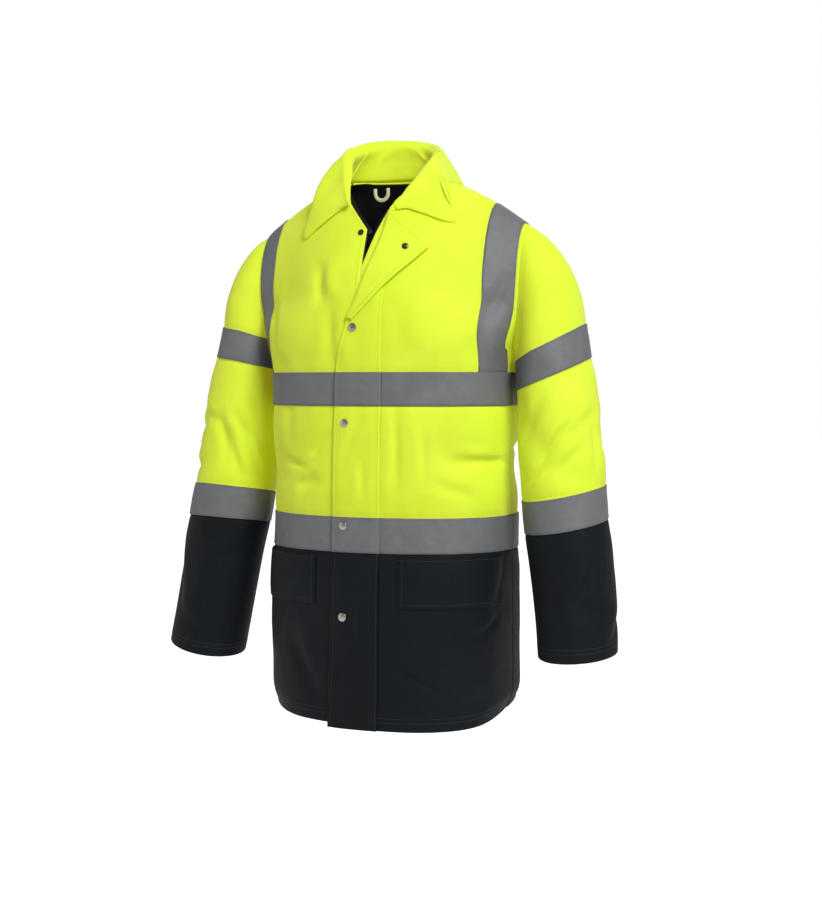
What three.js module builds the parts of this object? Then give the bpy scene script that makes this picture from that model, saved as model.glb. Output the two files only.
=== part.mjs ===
// A padded high-visibility work jacket, filled out as if worn, with nobody in it.
// Millimetres, +Z up, the front faces -Y and the wearer's left side is +X.
// The origin lies on the shoulder line in the middle of the neck, where a wearer carries the jacket.

import * as THREE from 'three';

// Cloth layers, measured through the wall
const cloth = { shell: 2.4, lining: 1.2, tape: 0.8, flap: 1.6, collar: 3.6 };
const seamGap = 0.7;
const sleeveGap = 1;
const layerGap = 0.5;
const liningDepth = 5.2;
const liningNeckReach = 6;

// Heights of the seams and of the edges of the reflective tape
const tapeWidth = 50;
const level = {
  underarm: -246,
  chestTapeTop: -279,
  waistTapeTop: -491,
  pocketFlapTop: -549,
  pocketFlapBottom: -621,
  hemSide: -768,
};
level.chestTapeBottom = level.chestTapeTop - tapeWidth;
level.waistTapeBottom = level.waistTapeTop - tapeWidth - 2;
const hemCurve = { start: -640, end: -805 };
const hemDrop = { left: 32, right: 22, back: 8 };

const colour = {
  yellow: 0xe2fa57,
  dark: 0x20252a,
  tape: 0x7a7e80,
  lining: 0x0c0d14,
  metal: 0x6e6b58,
  loop: 0xd8d9b8,
};

// Half width, front depth and back depth of the body at each height below the underarm
const bodySections = [
  { z: -805, half: 190, front: 152, back: 144 },
  { z: -700, half: 191, front: 151, back: 141 },
  { z: -543, half: 190, front: 147, back: 136 },
  { z: -410, half: 189, front: 143, back: 131 },
  { z: -262, half: 194, front: 141, back: 130 },
];
const sectionPower = 2.35;
const chestPower = { front: 1.85, back: 2.2 };

// The shoulder line runs from the neck point down to the shoulder point
const neckPoint = { x: 82, z: 16 };
const shoulderPoint = { x: 217, z: -60 };
const shoulderRounding = 7;
const neckRise = 22;
const frontNeckDrop = 83;
const backNeckRise = 5;

// The armhole is an oval of these half widths, from the underarm to the shoulder point
const armhole = { front: 44, back: 60, spread: 4 };

// Columns of a half front or half back, as angles from the centre to the side seam.
// The reflective brace tape lies between the columns at 57 and 79 degrees.
const columnAngles = [0, 4, 9, 17, 28, 42, 57, 68, 79, 90];
const braceColumns = { inner: 6, outer: 8 };
const braceInnerX = 166;
const armholeMargin = 6;

// Share of the armhole height at each row above the underarm
const armholeRows = [0, 0.04, 0.13, 0.27, 0.43, 0.6, 0.73, 0.84, 0.93, 0.985, 1];

const lowerRows = [-805, -765, -715, -665, level.pocketFlapBottom, -585, level.pocketFlapTop, level.waistTapeBottom];
const middleRows = [
  level.waistTapeBottom, level.waistTapeTop, -450, -410, -370, level.chestTapeBottom, level.chestTapeTop,
];

// The storm flap: how far it stands off the front, the gap inside its fold, and its seam on the left front
const flap = { lift: 2.6, layer: 4.6, seamX: 37.5 };

// The flap's free edge from the hem up, which is the fold line above z -200
const flapEdge = [
  { z: -805, x: -40 },
  { z: -400, x: -35 },
  { z: -275, x: -33 },
  { z: -232, x: -24 },
  { z: -200, x: -14 },
  { z: -173, x: -1 },
  { z: -136, x: 9 },
  { z: -82, x: 22 },
  { z: -30, x: 28 },
];

// The turned-back top: height on the fold line, free edge of the turned part, height on the seam
const flapTurn = [
  { share: 0, foldZ: -200, edgeX: -6, edgeZ: -203, seamZ: -200 },
  { share: 0.25, foldZ: -160, edgeX: 20, edgeZ: -177, seamZ: -165 },
  { share: 0.5, foldZ: -120, edgeX: 46, edgeZ: -148, seamZ: -130 },
  { share: 0.75, foldZ: -81, edgeX: 72, edgeZ: -123, seamZ: -94 },
  { share: 1, foldZ: -42, edgeX: 97, edgeZ: -98, seamZ: -58 },
];

// Main folds of the body cloth: angle round from the centre front, height, half run, half width, tilt, depth
const bodyFolds = [
  { angle: 62, z: -412, run: 70, across: 30, tilt: -4, depth: -6 },
  { angle: -58, z: -425, run: 60, across: 30, tilt: 12, depth: -6 },
  { angle: 45, z: -690, run: 90, across: 36, tilt: -40, depth: -5 },
  { angle: -40, z: -700, run: 80, across: 36, tilt: 30, depth: -4 },
  { angle: 120, z: -415, run: 80, across: 32, tilt: 8, depth: -6 },
  { angle: -125, z: -425, run: 80, across: 32, tilt: -8, depth: -6 },
  { angle: 165, z: -660, run: 100, across: 36, tilt: 70, depth: -5 },
  { angle: -150, z: -670, run: 90, across: 36, tilt: -72, depth: -4 },
];

// Sleeve rings from the upper tape to the cuff: height, centre, half width, half depth,
// how far the ring rises outwards and backwards, and how far it dips under the arm
const sleeveRings = {
  right: [
    { z: -217, x: 249, y: 8, across: 50, deep: 67, out: 0.2, back: 0, dip: 0.66 },
    { z: -266, x: 255, y: 5, across: 55, deep: 67, out: 0.2, back: 0, dip: 0.46 },
    { z: -322, x: 261, y: 1, across: 59, deep: 66, out: 0.18, back: 0, dip: 0.2 },
    { z: -376, x: 266, y: -4, across: 61, deep: 66, out: 0.16, back: 0, dip: 0.06 },
    { z: -424, x: 273, y: -8, across: 62, deep: 66, out: 0.15, back: 0, dip: 0 },
    { z: -464, x: 279, y: -12, across: 62, deep: 65, out: 0.14, back: 0, dip: 0 },
    { z: -514, x: 285, y: -17, across: 62, deep: 64, out: 0.14, back: 0, dip: 0 },
    { z: -560, x: 291, y: -22, across: 61, deep: 63, out: 0.15, back: 0.02, dip: 0 },
    { z: -610, x: 297, y: -28, across: 60, deep: 62, out: 0.16, back: 0.04, dip: 0 },
    { z: -660, x: 303, y: -35, across: 59, deep: 61, out: 0.18, back: 0.06, dip: 0 },
    { z: -712, x: 309, y: -42, across: 58, deep: 60, out: 0.2, back: 0.08, dip: 0 },
  ],
  left: [
    { z: -234, x: 249, y: 8, across: 50, deep: 67, out: 0.5, back: 0.2, dip: 0.2 },
    { z: -283, x: 255, y: 5, across: 54, deep: 67, out: 0.44, back: 0.2, dip: 0.16 },
    { z: -334, x: 261, y: 1, across: 58, deep: 66, out: 0.32, back: 0.16, dip: 0.08 },
    { z: -382, x: 265, y: -4, across: 60, deep: 65, out: 0.22, back: 0.14, dip: 0 },
    { z: -424, x: 271, y: -8, across: 61, deep: 65, out: 0.16, back: 0.13, dip: 0 },
    { z: -461, x: 275, y: -12, across: 61, deep: 64, out: 0.12, back: 0.12, dip: 0 },
    { z: -511, x: 280, y: -17, across: 61, deep: 63, out: 0.1, back: 0.12, dip: 0 },
    { z: -553, x: 285, y: -22, across: 60, deep: 62, out: 0.08, back: 0.1, dip: 0 },
    { z: -597, x: 289, y: -28, across: 58, deep: 61, out: 0.07, back: 0.1, dip: 0 },
    { z: -641, x: 293, y: -34, across: 57, deep: 60, out: 0.06, back: 0.1, dip: 0 },
    { z: -686, x: 296, y: -40, across: 56, deep: 59, out: 0.05, back: 0.1, dip: 0 },
  ],
};
const capRows = [0, 0.16, 0.32, 0.5, 0.68, 0.85];
const upperTapeRing = 0;
const lowerTapeRing = 5;

// Main folds of each sleeve: angle round from the outer side, height, half run, half width, tilt, depth
const sleeveFolds = [
  { arm: 1, angle: 110, z: -375, run: 60, across: 26, tilt: 55, depth: -5 },
  { arm: 1, angle: 60, z: -420, run: 55, across: 26, tilt: 30, depth: -4 },
  { arm: 1, angle: 70, z: -590, run: 60, across: 26, tilt: 60, depth: -4 },
  { arm: 1, angle: -70, z: -385, run: 50, across: 26, tilt: -30, depth: -4 },
  { arm: -1, angle: 110, z: -375, run: 70, across: 26, tilt: 60, depth: -5 },
  { arm: -1, angle: 60, z: -420, run: 50, across: 26, tilt: 30, depth: -4 },
  { arm: -1, angle: -70, z: -390, run: 50, across: 26, tilt: -30, depth: -4 },
  { arm: -1, angle: 60, z: -600, run: 60, across: 28, tilt: 75, depth: -3 },
];

// Collar, half of it, from the front end to the centre back: how far round the neckline (0 front, 1 neck point,
// 2 centre back), the top of its roll, how far the fall bulges, and its lower edge on the shoulder
const collarSections = [
  { neck: 0.47, rollX: 38, rollY: -93, rollZ: -29, radius: 5, bulge: 1, edgeX: 47, edgeZ: -43, lift: 9 },
  { neck: 0.6, rollX: 48, rollY: -80, rollZ: -9, radius: 7, bulge: 5, edgeX: 66, edgeZ: -61, lift: 9 },
  { neck: 0.78, rollX: 61, rollY: -57, rollZ: 22, radius: 10, bulge: 8, edgeX: 92, edgeZ: -68, lift: 8 },
  { neck: 0.92, rollX: 74, rollY: -29, rollZ: 56, radius: 11, bulge: 5, edgeX: 111, edgeZ: -36, lift: 8 },
  { neck: 1.04, rollX: 73, rollY: 4, rollZ: 64, radius: 10, bulge: 0, edgeX: 113, edgeZ: 1, lift: 7 },
  { neck: 1.3, rollX: 62, rollY: 34, rollZ: 73, radius: 10, bulge: 1, edgeX: 100, edgeZ: -8, lift: 8 },
  { neck: 1.6, rollX: 39, rollY: 55, rollZ: 80, radius: 10, bulge: 4, edgeX: 62, edgeZ: -20, lift: 7 },
  { neck: 2, rollX: 0, rollY: 62, rollZ: 83, radius: 10, bulge: 4, edgeX: 0, edgeZ: -18, lift: 7 },
];
const collarLean = 0.12;
const collarFootRise = 3.6;

const stud = { radius: 6.5, height: 2.6 };
const studRows = [{ x: -5, z: -214 }, { x: -16, z: -354 }, { x: -17, z: -504, onTape: true }, { x: -17, z: -637 }];
const openStud = { flapX: 64, flapZ: -99, frontX: -9, frontZ: -72, radius: 5 };
const loop = { x: -40, reach: 14, width: 6, straight: 8, thick: 1.4, standOff: 21 };

const radians = THREE.MathUtils.degToRad;
const mix = THREE.MathUtils.lerp;

function readTable(table, key, value, column) {
  // A smooth curve through one column of a table whose rows run up or down in the key column
  const rising = table[table.length - 1][key] > table[0][key];
  const rows = rising ? table : [...table].reverse();
  let i = 0;
  while (i < rows.length - 2 && value > rows[i + 1][key]) i++;
  const a = rows[i];
  const b = rows[i + 1];
  const span = b[key] - a[key];
  const t = THREE.MathUtils.clamp((value - a[key]) / span, 0, 1);
  const before = rows[Math.max(i - 1, 0)];
  const after = rows[Math.min(i + 2, rows.length - 1)];
  const slopeA = ((b[column] - before[column]) / (b[key] - before[key])) * span;
  const slopeB = ((after[column] - a[column]) / (after[key] - a[key])) * span;
  const t2 = t * t;
  const t3 = t2 * t;
  return (2 * t3 - 3 * t2 + 1) * a[column] + (t3 - 2 * t2 + t) * slopeA
    + (3 * t2 - 2 * t3) * b[column] + (t3 - t2) * slopeB;
}

function foldDepth(folds, angle, z, millimetresPerDegree) {
  // Each fold is a soft trough, longer than it is wide
  let depth = 0;
  for (const fold of folds) {
    let turn = angle - fold.angle;
    turn -= 360 * Math.round(turn / 360);
    const dx = turn * millimetresPerDegree;
    const dz = z - fold.z;
    const tilt = radians(fold.tilt);
    const along = dx * Math.cos(tilt) + dz * Math.sin(tilt);
    const across = -dx * Math.sin(tilt) + dz * Math.cos(tilt);
    depth += fold.depth * Math.exp(-((along / fold.run) ** 2) - (across / fold.across) ** 2);
  }
  return depth;
}

// The body below the underarm: rings round the wearer, angle 0 at the centre front and 180 at the centre back
function bodyRing(angle, z, drop) {
  const half = readTable(bodySections, 'z', z, 'half');
  const isFront = Math.abs(angle) <= 90;
  const depth = readTable(bodySections, 'z', z, isFront ? 'front' : 'back');
  const sine = Math.sin(radians(angle));
  const cosine = Math.cos(radians(angle));
  const power = 2 / sectionPower;
  const lowered = Math.max(0, (hemCurve.start - z) / (hemCurve.start - hemCurve.end)) ** 2;
  const hem = z + lowered * (level.hemSide - drop * cosine ** 2 - hemCurve.end);
  const fold = 1 + foldDepth(bodyFolds, angle, z, 2.9) / half;
  return new THREE.Vector3(
    fold * half * Math.sign(sine) * Math.abs(sine) ** power,
    -fold * depth * Math.sign(cosine) * Math.abs(cosine) ** power,
    hem,
  );
}

function shoulderLine(x) {
  const slope = (shoulderPoint.z - neckPoint.z) / (shoulderPoint.x - neckPoint.x);
  if (x >= neckPoint.x) {
    const along = (x - neckPoint.x) / (shoulderPoint.x - neckPoint.x);
    return neckPoint.z + slope * (x - neckPoint.x) + shoulderRounding * Math.sin(Math.PI * along);
  }
  return neckPoint.z + neckRise * (1 - (x / neckPoint.x) ** 2);
}

function armholeX(share) {
  const half = readTable(bodySections, 'z', level.underarm, 'half');
  return half + (shoulderPoint.x - half) * (1 - (1 - share) ** armhole.spread);
}

// The body above the underarm, front (side -1) or back (side +1), at x and a share of the height to the shoulder line
function chestPoint(x, share, side) {
  const across = Math.abs(x);
  const z = level.underarm + (shoulderLine(across) - level.underarm) * share;
  const column = side < 0 ? 'front' : 'back';
  const full = readTable(bodySections, 'z', level.underarm, column);
  const centreDepth = full * Math.max(0, 1 - share ** chestPower[column]) ** (1 / chestPower[column]);
  const edgeDepth = 2 * Math.sqrt(Math.max(0, share * (1 - share))) * armhole[column];
  const rounding = mix(sectionPower, 1, THREE.MathUtils.smoothstep(share, 0, 0.35));
  const fall = Math.max(0, 1 - (across / armholeX(share)) ** sectionPower) ** (1 / rounding);
  return new THREE.Vector3(x, side * (centreDepth * fall + edgeDepth * (1 - fall) ** 2), z);
}

function chestShare(x, z) {
  return (z - level.underarm) / (shoulderLine(Math.abs(x)) - level.underarm);
}

// Any point of the front, by x and z
function frontPoint(x, z) {
  if (z > level.underarm) return chestPoint(x, chestShare(x, z), -1);
  const half = readTable(bodySections, 'z', z, 'half');
  const sine = (Math.abs(x) / half) ** (sectionPower / 2);
  const angle = Math.sign(x) * THREE.MathUtils.radToDeg(Math.asin(sine));
  return bodyRing(angle, z, hemDrop.left);
}

function frontNormal(x, z) {
  const across = frontPoint(x + 1, z).sub(frontPoint(x - 1, z));
  const up = frontPoint(x, z + 1).sub(frontPoint(x, z - 1));
  return across.cross(up).normalize();
}

function onFront(x, z, height) {
  return frontPoint(x, z).addScaledVector(frontNormal(x, z), height);
}

// The neckline: 0 at the centre front, 1 at the neck point, 2 at the centre back
function neckline(position) {
  if (position <= 1) {
    const x = neckPoint.x * position;
    const z = neckPoint.z - frontNeckDrop * (1 - position) ** 1.1;
    return { x, share: Math.min(1, chestShare(x, z)), side: -1 };
  }
  const turn = radians(90 * (position - 1));
  const x = neckPoint.x * Math.cos(turn);
  const z = neckPoint.z + backNeckRise * Math.sin(turn);
  return { x, share: Math.min(1, chestShare(x, z)), side: 1 };
}

// Where each row above the underarm starts: straight up the centre edge, then along the neckline
const rowStarts = {
  right: [0.04, 0.13, 0.27, 0.43, 0.58].map((share) => ({ x: 0, share }))
    .concat([0, 0.22, 0.47, 0.75, 1].map(neckline)),
  left: [0.04, 0.13, 0.27, 0.43].map((share) => ({ x: 0, share }))
    .concat([{ x: 14, share: 0.6 }])
    .concat([0.34, 0.42, 0.6, 0.8, 1].map(neckline)),
  back: [0.04, 0.13, 0.27, 0.43, 0.6, 0.75].map((share) => ({ x: 0, share }))
    .concat([2, 1.6, 1.3, 1].map(neckline)),
};

// One half of the front or back as a grid of points, rows upwards and columns from the centre to the side
function halfBodyRows(panel, sign, part) {
  const drop = hemDrop[panel];
  const side = panel === 'back' ? 1 : -1;
  const ringAngle = (angle) => sign * (panel === 'back' ? 180 - angle : angle);
  const rings = (heights) => heights.map((z) => columnAngles.map((angle) => bodyRing(ringAngle(angle), z, drop)));
  if (part === 'lower') return rings(lowerRows);
  const half = readTable(bodySections, 'z', level.underarm, 'half');
  const power = 2 / sectionPower;
  const braceX = half * Math.sin(radians(columnAngles[braceColumns.inner])) ** power;
  const shares = columnAngles.map((angle) => (half * Math.sin(radians(angle)) ** power) / braceX);
  const chest = armholeRows.slice(1).map((endShare, i) => {
    const start = rowStarts[panel][i];
    const endX = armholeX(endShare);
    const outer = endX - armholeMargin;
    return columnAngles.map((_, c) => {
      let x = start.x + (braceInnerX - start.x) * shares[c];
      if (c > braceColumns.inner) x = mix(braceInnerX, outer, (c - braceColumns.inner) / 2);
      if (c > braceColumns.outer) x = endX;
      const share = mix(start.share, endShare, (x - start.x) / (endX - start.x));
      return chestPoint(sign * x, Math.min(1, share), side);
    });
  });
  return [...rings([...middleRows, level.underarm]), ...chest];
}

// A sleeve as a grid: rows from the armhole to the cuff, columns round from the shoulder through the front
const frontTurns = armholeRows.map((share) => Math.acos(2 * share - 1)).reverse();
const sleeveTurns = [...frontTurns, ...[...frontTurns].reverse().slice(1, -1).map((turn) => 2 * Math.PI - turn)];

function sleeveRingPoint(ring, turn, arm) {
  const out = Math.cos(turn) * ring.across;
  const back = -Math.sin(turn) * ring.deep;
  const rise = ring.out * out + ring.back * back - ring.dip * ring.across * Math.max(0, -Math.cos(turn)) ** 1.5;
  const folds = sleeveFolds.filter((fold) => fold.arm === arm);
  const angle = THREE.MathUtils.radToDeg(turn);
  const fold = 1 + foldDepth(folds, angle, ring.z + rise, 1.1) / ring.across;
  return new THREE.Vector3(arm * (ring.x + out * fold), ring.y + back * fold, ring.z + rise);
}

function armholePoint(turn, arm) {
  const share = (1 + Math.cos(turn)) / 2;
  return chestPoint(arm * armholeX(share), share, Math.sin(turn) >= 0 ? -1 : 1);
}

function sleeveCapPoint(turn, step, arm) {
  const start = armholePoint(turn, arm);
  const end = sleeveRingPoint(sleeveRings[arm > 0 ? 'left' : 'right'][0], turn, arm);
  const reach = start.distanceTo(end);
  const top = (1 + Math.cos(turn)) / 2;
  const leave = new THREE.Vector3(arm * mix(0.8, 0.85, top), -0.35 * Math.sin(turn), -mix(0.75, 0.5, top)).normalize();
  const arrive = new THREE.Vector3(arm * 0.16, -0.02, -1).normalize();
  const first = start.clone().addScaledVector(leave, reach * 0.36);
  const second = end.clone().addScaledVector(arrive, -reach * 0.36);
  return new THREE.CubicBezierCurve3(start, first, second, end).getPoint(step);
}

function sleeveRows(arm) {
  const cap = capRows.map((step) => sleeveTurns.map((turn) => sleeveCapPoint(turn, step, arm)));
  const rings = sleeveRings[arm > 0 ? 'left' : 'right'];
  const tube = rings.map((ring) => sleeveTurns.map((turn) => sleeveRingPoint(ring, turn, arm)));
  return [...cap, ...tube];
}

// Collar: each section goes up the stand, over the roll and down the fall
function collarSection(row, sign) {
  const base = neckline(row.neck);
  const foot = chestPoint(base.x, base.share, base.side);
  foot.z += collarFootRise;
  const roll = new THREE.Vector3(row.rollX, row.rollY, row.rollZ - sign * collarLean * row.rollX);
  const share = Math.min(0.999, chestShare(row.edgeX, row.edgeZ));
  const side = row.neck > 1.1 ? 1 : -1;
  const edge = chestPoint(row.edgeX, share, side);
  const outward = new THREE.Vector3(edge.x - roll.x, edge.y - roll.y, 0).normalize();
  edge.addScaledVector(outward, row.lift);
  edge.z += row.lift;
  const inner = roll.clone().addScaledVector(outward, -row.radius);
  inner.z -= row.radius;
  const outer = roll.clone().addScaledVector(outward, row.radius);
  outer.z -= row.radius;
  const middle = outer.clone().lerp(edge, 0.48).addScaledVector(outward, row.bulge);
  middle.z += row.bulge * 0.6;
  const line = new THREE.CatmullRomCurve3([foot, foot.clone().lerp(inner, 0.55), inner, roll, outer, middle, edge]);
  const steps = [0, 0.17, 0.3, 0.4, 0.5, 0.6, 0.72, 0.86, 1];
  return steps.map((step) => {
    const point = line.getPoint(step);
    point.x *= sign;
    return point;
  });
}

function collarRows() {
  const positions = [];
  for (let i = 0; i <= 14; i++) positions.push(mix(collarSections[0].neck, 2, i / 14));
  const columns = Object.keys(collarSections[0]);
  const half = positions.map((neck) => Object.fromEntries(
    columns.map((column) => [column, column === 'neck' ? neck : readTable(collarSections, 'neck', neck, column)]),
  ));
  const right = half.map((row) => collarSection(row, -1));
  const left = half.map((row) => collarSection(row, 1)).reverse();
  return [...right, ...left.slice(1)];
}

// Storm flap: each row goes from the free edge, or the fold line, to the seam on the left front
function flapSection(seamZ, foldX, foldZ, start) {
  const columns = [[0, 1], [0.3, 1], [0.65, 0.85], [1, 0.35]];
  return columns.map(([share, height]) => {
    const along = mix(start, 1, share);
    return onFront(mix(foldX, flap.seamX, along), mix(foldZ, seamZ, Math.min(1, along * 1.5)), flap.lift * height);
  });
}

// The turned-back top: from its free edge to the fold, round it, and a little way under
function lapelSection(foldX, foldZ, edgeX, edgeZ) {
  const top = flap.lift + flap.layer;
  const away = new THREE.Vector2(edgeX - foldX, edgeZ - foldZ);
  const width = Math.max(away.length(), 7);
  const direction = away.length() > 1 ? away.normalize() : new THREE.Vector2(1, 0);
  const turned = [1, 0.5, 2 / width].map((share) => onFront(
    foldX + direction.x * width * share, foldZ + direction.y * width * share, top,
  ));
  const apex = onFront(foldX - 1.2, foldZ, flap.lift + flap.layer / 2);
  const under = onFront(foldX + 3, foldZ - 1, flap.lift);
  return [...turned, apex, under];
}

const turnRows = Array.from({ length: 10 }, (_, i) => {
  const column = (name) => readTable(flapTurn, 'share', i / 9, name);
  const foldZ = column('foldZ');
  return {
    foldX: readTable(flapEdge, 'z', foldZ, 'x'), foldZ, edgeX: column('edgeX'), edgeZ: column('edgeZ'),
    seamZ: column('seamZ'),
  };
});

function flapRows(part) {
  const straight = (z) => flapSection(z, readTable(flapEdge, 'z', z, 'x'), z, 0);
  if (part === 'lower') return lowerRows.map(straight);
  const turned = turnRows.map((row) => flapSection(row.seamZ, row.foldX, row.foldZ, 4.5 / (flap.seamX - row.foldX)));
  return [...[...middleRows, level.underarm, -223].map(straight), ...turned];
}

function lapelRows() {
  return turnRows.map((row) => lapelSection(row.foldX, row.foldZ, row.edgeX, row.edgeZ));
}

// A sheet is a grid of points on the outer face of a cloth. Its flip says which way round the grid runs, closed
// makes a tube of it, and joined counts the rows that are one with the other half on the centre line.
// Normals are shared wherever sheets meet, so that their walls part along one mitre.
const placeOf = (point) => point.toArray().map((value) => Math.round(value * 10)).join();

function collectNormals(sheets) {
  const store = new Map();
  for (const { rows, closed, flip } of sheets) {
    const columns = rows[0].length;
    const last = closed ? columns : columns - 1;
    for (let r = 0; r < rows.length - 1; r++) {
      for (let c = 0; c < last; c++) {
        const next = (c + 1) % columns;
        const corners = [rows[r][c], rows[r][next], rows[r + 1][next], rows[r + 1][c]];
        const normal = corners[2].clone().sub(corners[0]).cross(corners[3].clone().sub(corners[1]));
        if (flip) normal.negate();
        for (const corner of corners) {
          const place = placeOf(corner);
          store.set(place, (store.get(place) ?? new THREE.Vector3()).add(normal));
        }
      }
    }
  }
  return store;
}

// A sheet keeps its own normals where it meets another at a sharp angle, as under the arm
function withNormals(sheet, shared, own = shared) {
  const normals = sheet.rows.map((row) => row.map((point) => {
    const [common, alone] = [shared, own].map((store) => store.get(placeOf(point)).clone().normalize());
    return common.dot(alone) < 0.7 ? alone : common;
  }));
  return { ...sheet, normals };
}

// Draws the free edges of a sheet in by half a seam gap
function drawnIn({ rows, closed, joined = 0, gap = seamGap }) {
  const moved = rows.map((row) => row.map((point) => point.clone()));
  const draw = (point, from, target) => point.addScaledVector(target.clone().sub(from).normalize(), gap / 2);
  const lastRow = rows.length - 1;
  const lastColumn = rows[0].length - 1;
  rows[0].forEach((_, c) => {
    draw(moved[0][c], rows[0][c], rows[1][c]);
    draw(moved[lastRow][c], rows[lastRow][c], rows[lastRow - 1][c]);
  });
  if (closed) return moved;
  rows.forEach((row, r) => {
    if (r >= joined) draw(moved[r][0], row[0], row[1]);
    draw(moved[r][lastColumn], row[lastColumn], row[lastColumn - 1]);
  });
  return moved;
}

// A closed wall between two copies of its sheets, at a low and a high distance from the cloth's outer face
function wallGeometry(sheets, low, high) {
  const positions = [];
  const faces = [];
  for (const sheet of sheets) {
    const { closed, flip, joined = 0, crossedFrom = Infinity } = sheet;
    const rows = drawnIn(sheet);
    const base = positions.length / 3;
    const lastRow = rows.length - 1;
    const columns = rows[0].length;
    for (const height of [high, low]) {
      rows.forEach((row, r) => row.forEach((point, c) => {
        positions.push(...point.clone().addScaledVector(sheet.normals[r][c], height).toArray());
      }));
    }
    const at = (layer, r, c) => base + (layer * rows.length + r) * columns + (c % columns);
    const quad = (a, b, c, d, crossed) => {
      const pair = crossed ? [[a, b, d], [b, c, d]] : [[a, b, c], [a, c, d]];
      for (const face of pair) faces.push(...(flip ? face.reverse() : face));
    };
    const last = closed ? columns : columns - 1;
    for (let c = 0; c < last; c++) {
      for (let r = 0; r < lastRow; r++) {
        const crossed = r >= crossedFrom;
        quad(at(0, r, c), at(0, r, c + 1), at(0, r + 1, c + 1), at(0, r + 1, c), crossed);
        quad(at(1, r, c), at(1, r + 1, c), at(1, r + 1, c + 1), at(1, r, c + 1), crossed);
      }
      quad(at(1, 0, c), at(1, 0, c + 1), at(0, 0, c + 1), at(0, 0, c));
      quad(at(0, lastRow, c), at(0, lastRow, c + 1), at(1, lastRow, c + 1), at(1, lastRow, c));
    }
    for (let r = 0; r < lastRow && !closed; r++) {
      if (r >= joined - 1) quad(at(0, r, 0), at(0, r + 1, 0), at(1, r + 1, 0), at(1, r, 0));
      quad(at(1, r, last), at(1, r + 1, last), at(0, r + 1, last), at(0, r, last));
    }
  }
  const geometry = new THREE.BufferGeometry();
  geometry.setAttribute('position', new THREE.Float32BufferAttribute(positions, 3));
  geometry.setIndex(faces);
  return geometry;
}

// A block of a sheet's own points, for what lies on it
function cut(sheet, rowFrom, rowTo, from = 0, to = Infinity) {
  const take = (grid) => grid.slice(rowFrom, rowTo + 1).map((row) => row.slice(from, to + 1));
  const joined = Math.max(0, Math.min(sheet.joined ?? 0, rowTo + 1) - rowFrom);
  return { ...sheet, gap: seamGap, joined, rows: take(sheet.rows), normals: take(sheet.normals) };
}

const jacket = new THREE.Group();

function addPiece(name, geometry, tint, roughness = 0.8, metalness = 0) {
  const material = new THREE.MeshStandardMaterial({ color: tint, roughness, metalness });
  const mesh = new THREE.Mesh(geometry, material);
  mesh.name = name;
  jacket.add(mesh);
  return mesh;
}

// Body and sleeve sheets, each half of the back on its own
const half = (panel, sign, part) => ({
  rows: halfBodyRows(panel, sign, part), flip: (panel === 'back') === (sign > 0),
});
const backNeckRow = middleRows.length + 1 + rowStarts.back.filter((start) => start.x < 1).length;
const body = {
  frontRightUpper: half('right', -1, 'upper'),
  frontRightLower: half('right', -1, 'lower'),
  frontLeftUpper: half('left', 1, 'upper'),
  frontLeftLower: half('left', 1, 'lower'),
  backRightUpper: { ...half('back', -1, 'upper'), joined: backNeckRow },
  backRightLower: { ...half('back', -1, 'lower'), joined: lowerRows.length },
  backLeftUpper: { ...half('back', 1, 'upper'), joined: backNeckRow },
  backLeftLower: { ...half('back', 1, 'lower'), joined: lowerRows.length },
};
const sleeveSeamRow = capRows.length + lowerTapeRing + 1;
const sleeves = {};
for (const [side, arm] of [['Right', -1], ['Left', 1]]) {
  const rows = sleeveRows(arm);
  const common = { closed: true, flip: arm < 0, gap: sleeveGap };
  sleeves[`upper${side}`] = { ...common, rows: rows.slice(0, sleeveSeamRow + 1) };
  sleeves[`lower${side}`] = { ...common, rows: rows.slice(sleeveSeamRow) };
}
const bodyNormals = collectNormals(Object.values(body));
const outerNormals = collectNormals([...Object.values(body), ...Object.values(sleeves)]);
const sleeveNormals = collectNormals(Object.values(sleeves));
const shell = {};
for (const [name, sheet] of Object.entries(body)) shell[name] = withNormals(sheet, outerNormals, bodyNormals);
for (const [name, sheet] of Object.entries(sleeves)) shell[name] = withNormals(sheet, outerNormals, sleeveNormals);

const shellPieces = [
  ['front_right_upper', [shell.frontRightUpper], colour.yellow],
  ['front_right_lower', [shell.frontRightLower], colour.dark],
  ['front_left_upper', [shell.frontLeftUpper], colour.yellow],
  ['front_left_lower', [shell.frontLeftLower], colour.dark],
  ['back_upper', [shell.backLeftUpper, shell.backRightUpper], colour.yellow],
  ['back_lower', [shell.backLeftLower, shell.backRightLower], colour.dark],
  ['sleeve_right_upper', [shell.upperRight], colour.yellow],
  ['sleeve_right_lower', [shell.lowerRight], colour.dark],
  ['sleeve_left_upper', [shell.upperLeft], colour.yellow],
  ['sleeve_left_lower', [shell.lowerLeft], colour.dark],
];
for (const [name, sheets, tint] of shellPieces) addPiece(name, wallGeometry(sheets, -cloth.shell, 0), tint);

// Reflective tape lies on the cloth a little way out
const tapeHigh = layerGap + cloth.tape;
const flapSeamColumn = 2;
const tapeRow = { chest: middleRows.indexOf(level.chestTapeBottom), waist: 0 };

function addTape(name, sheets, under = 0) {
  addPiece(name, wallGeometry(sheets, under + layerGap, under + tapeHigh), colour.tape, 0.45);
}

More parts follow.
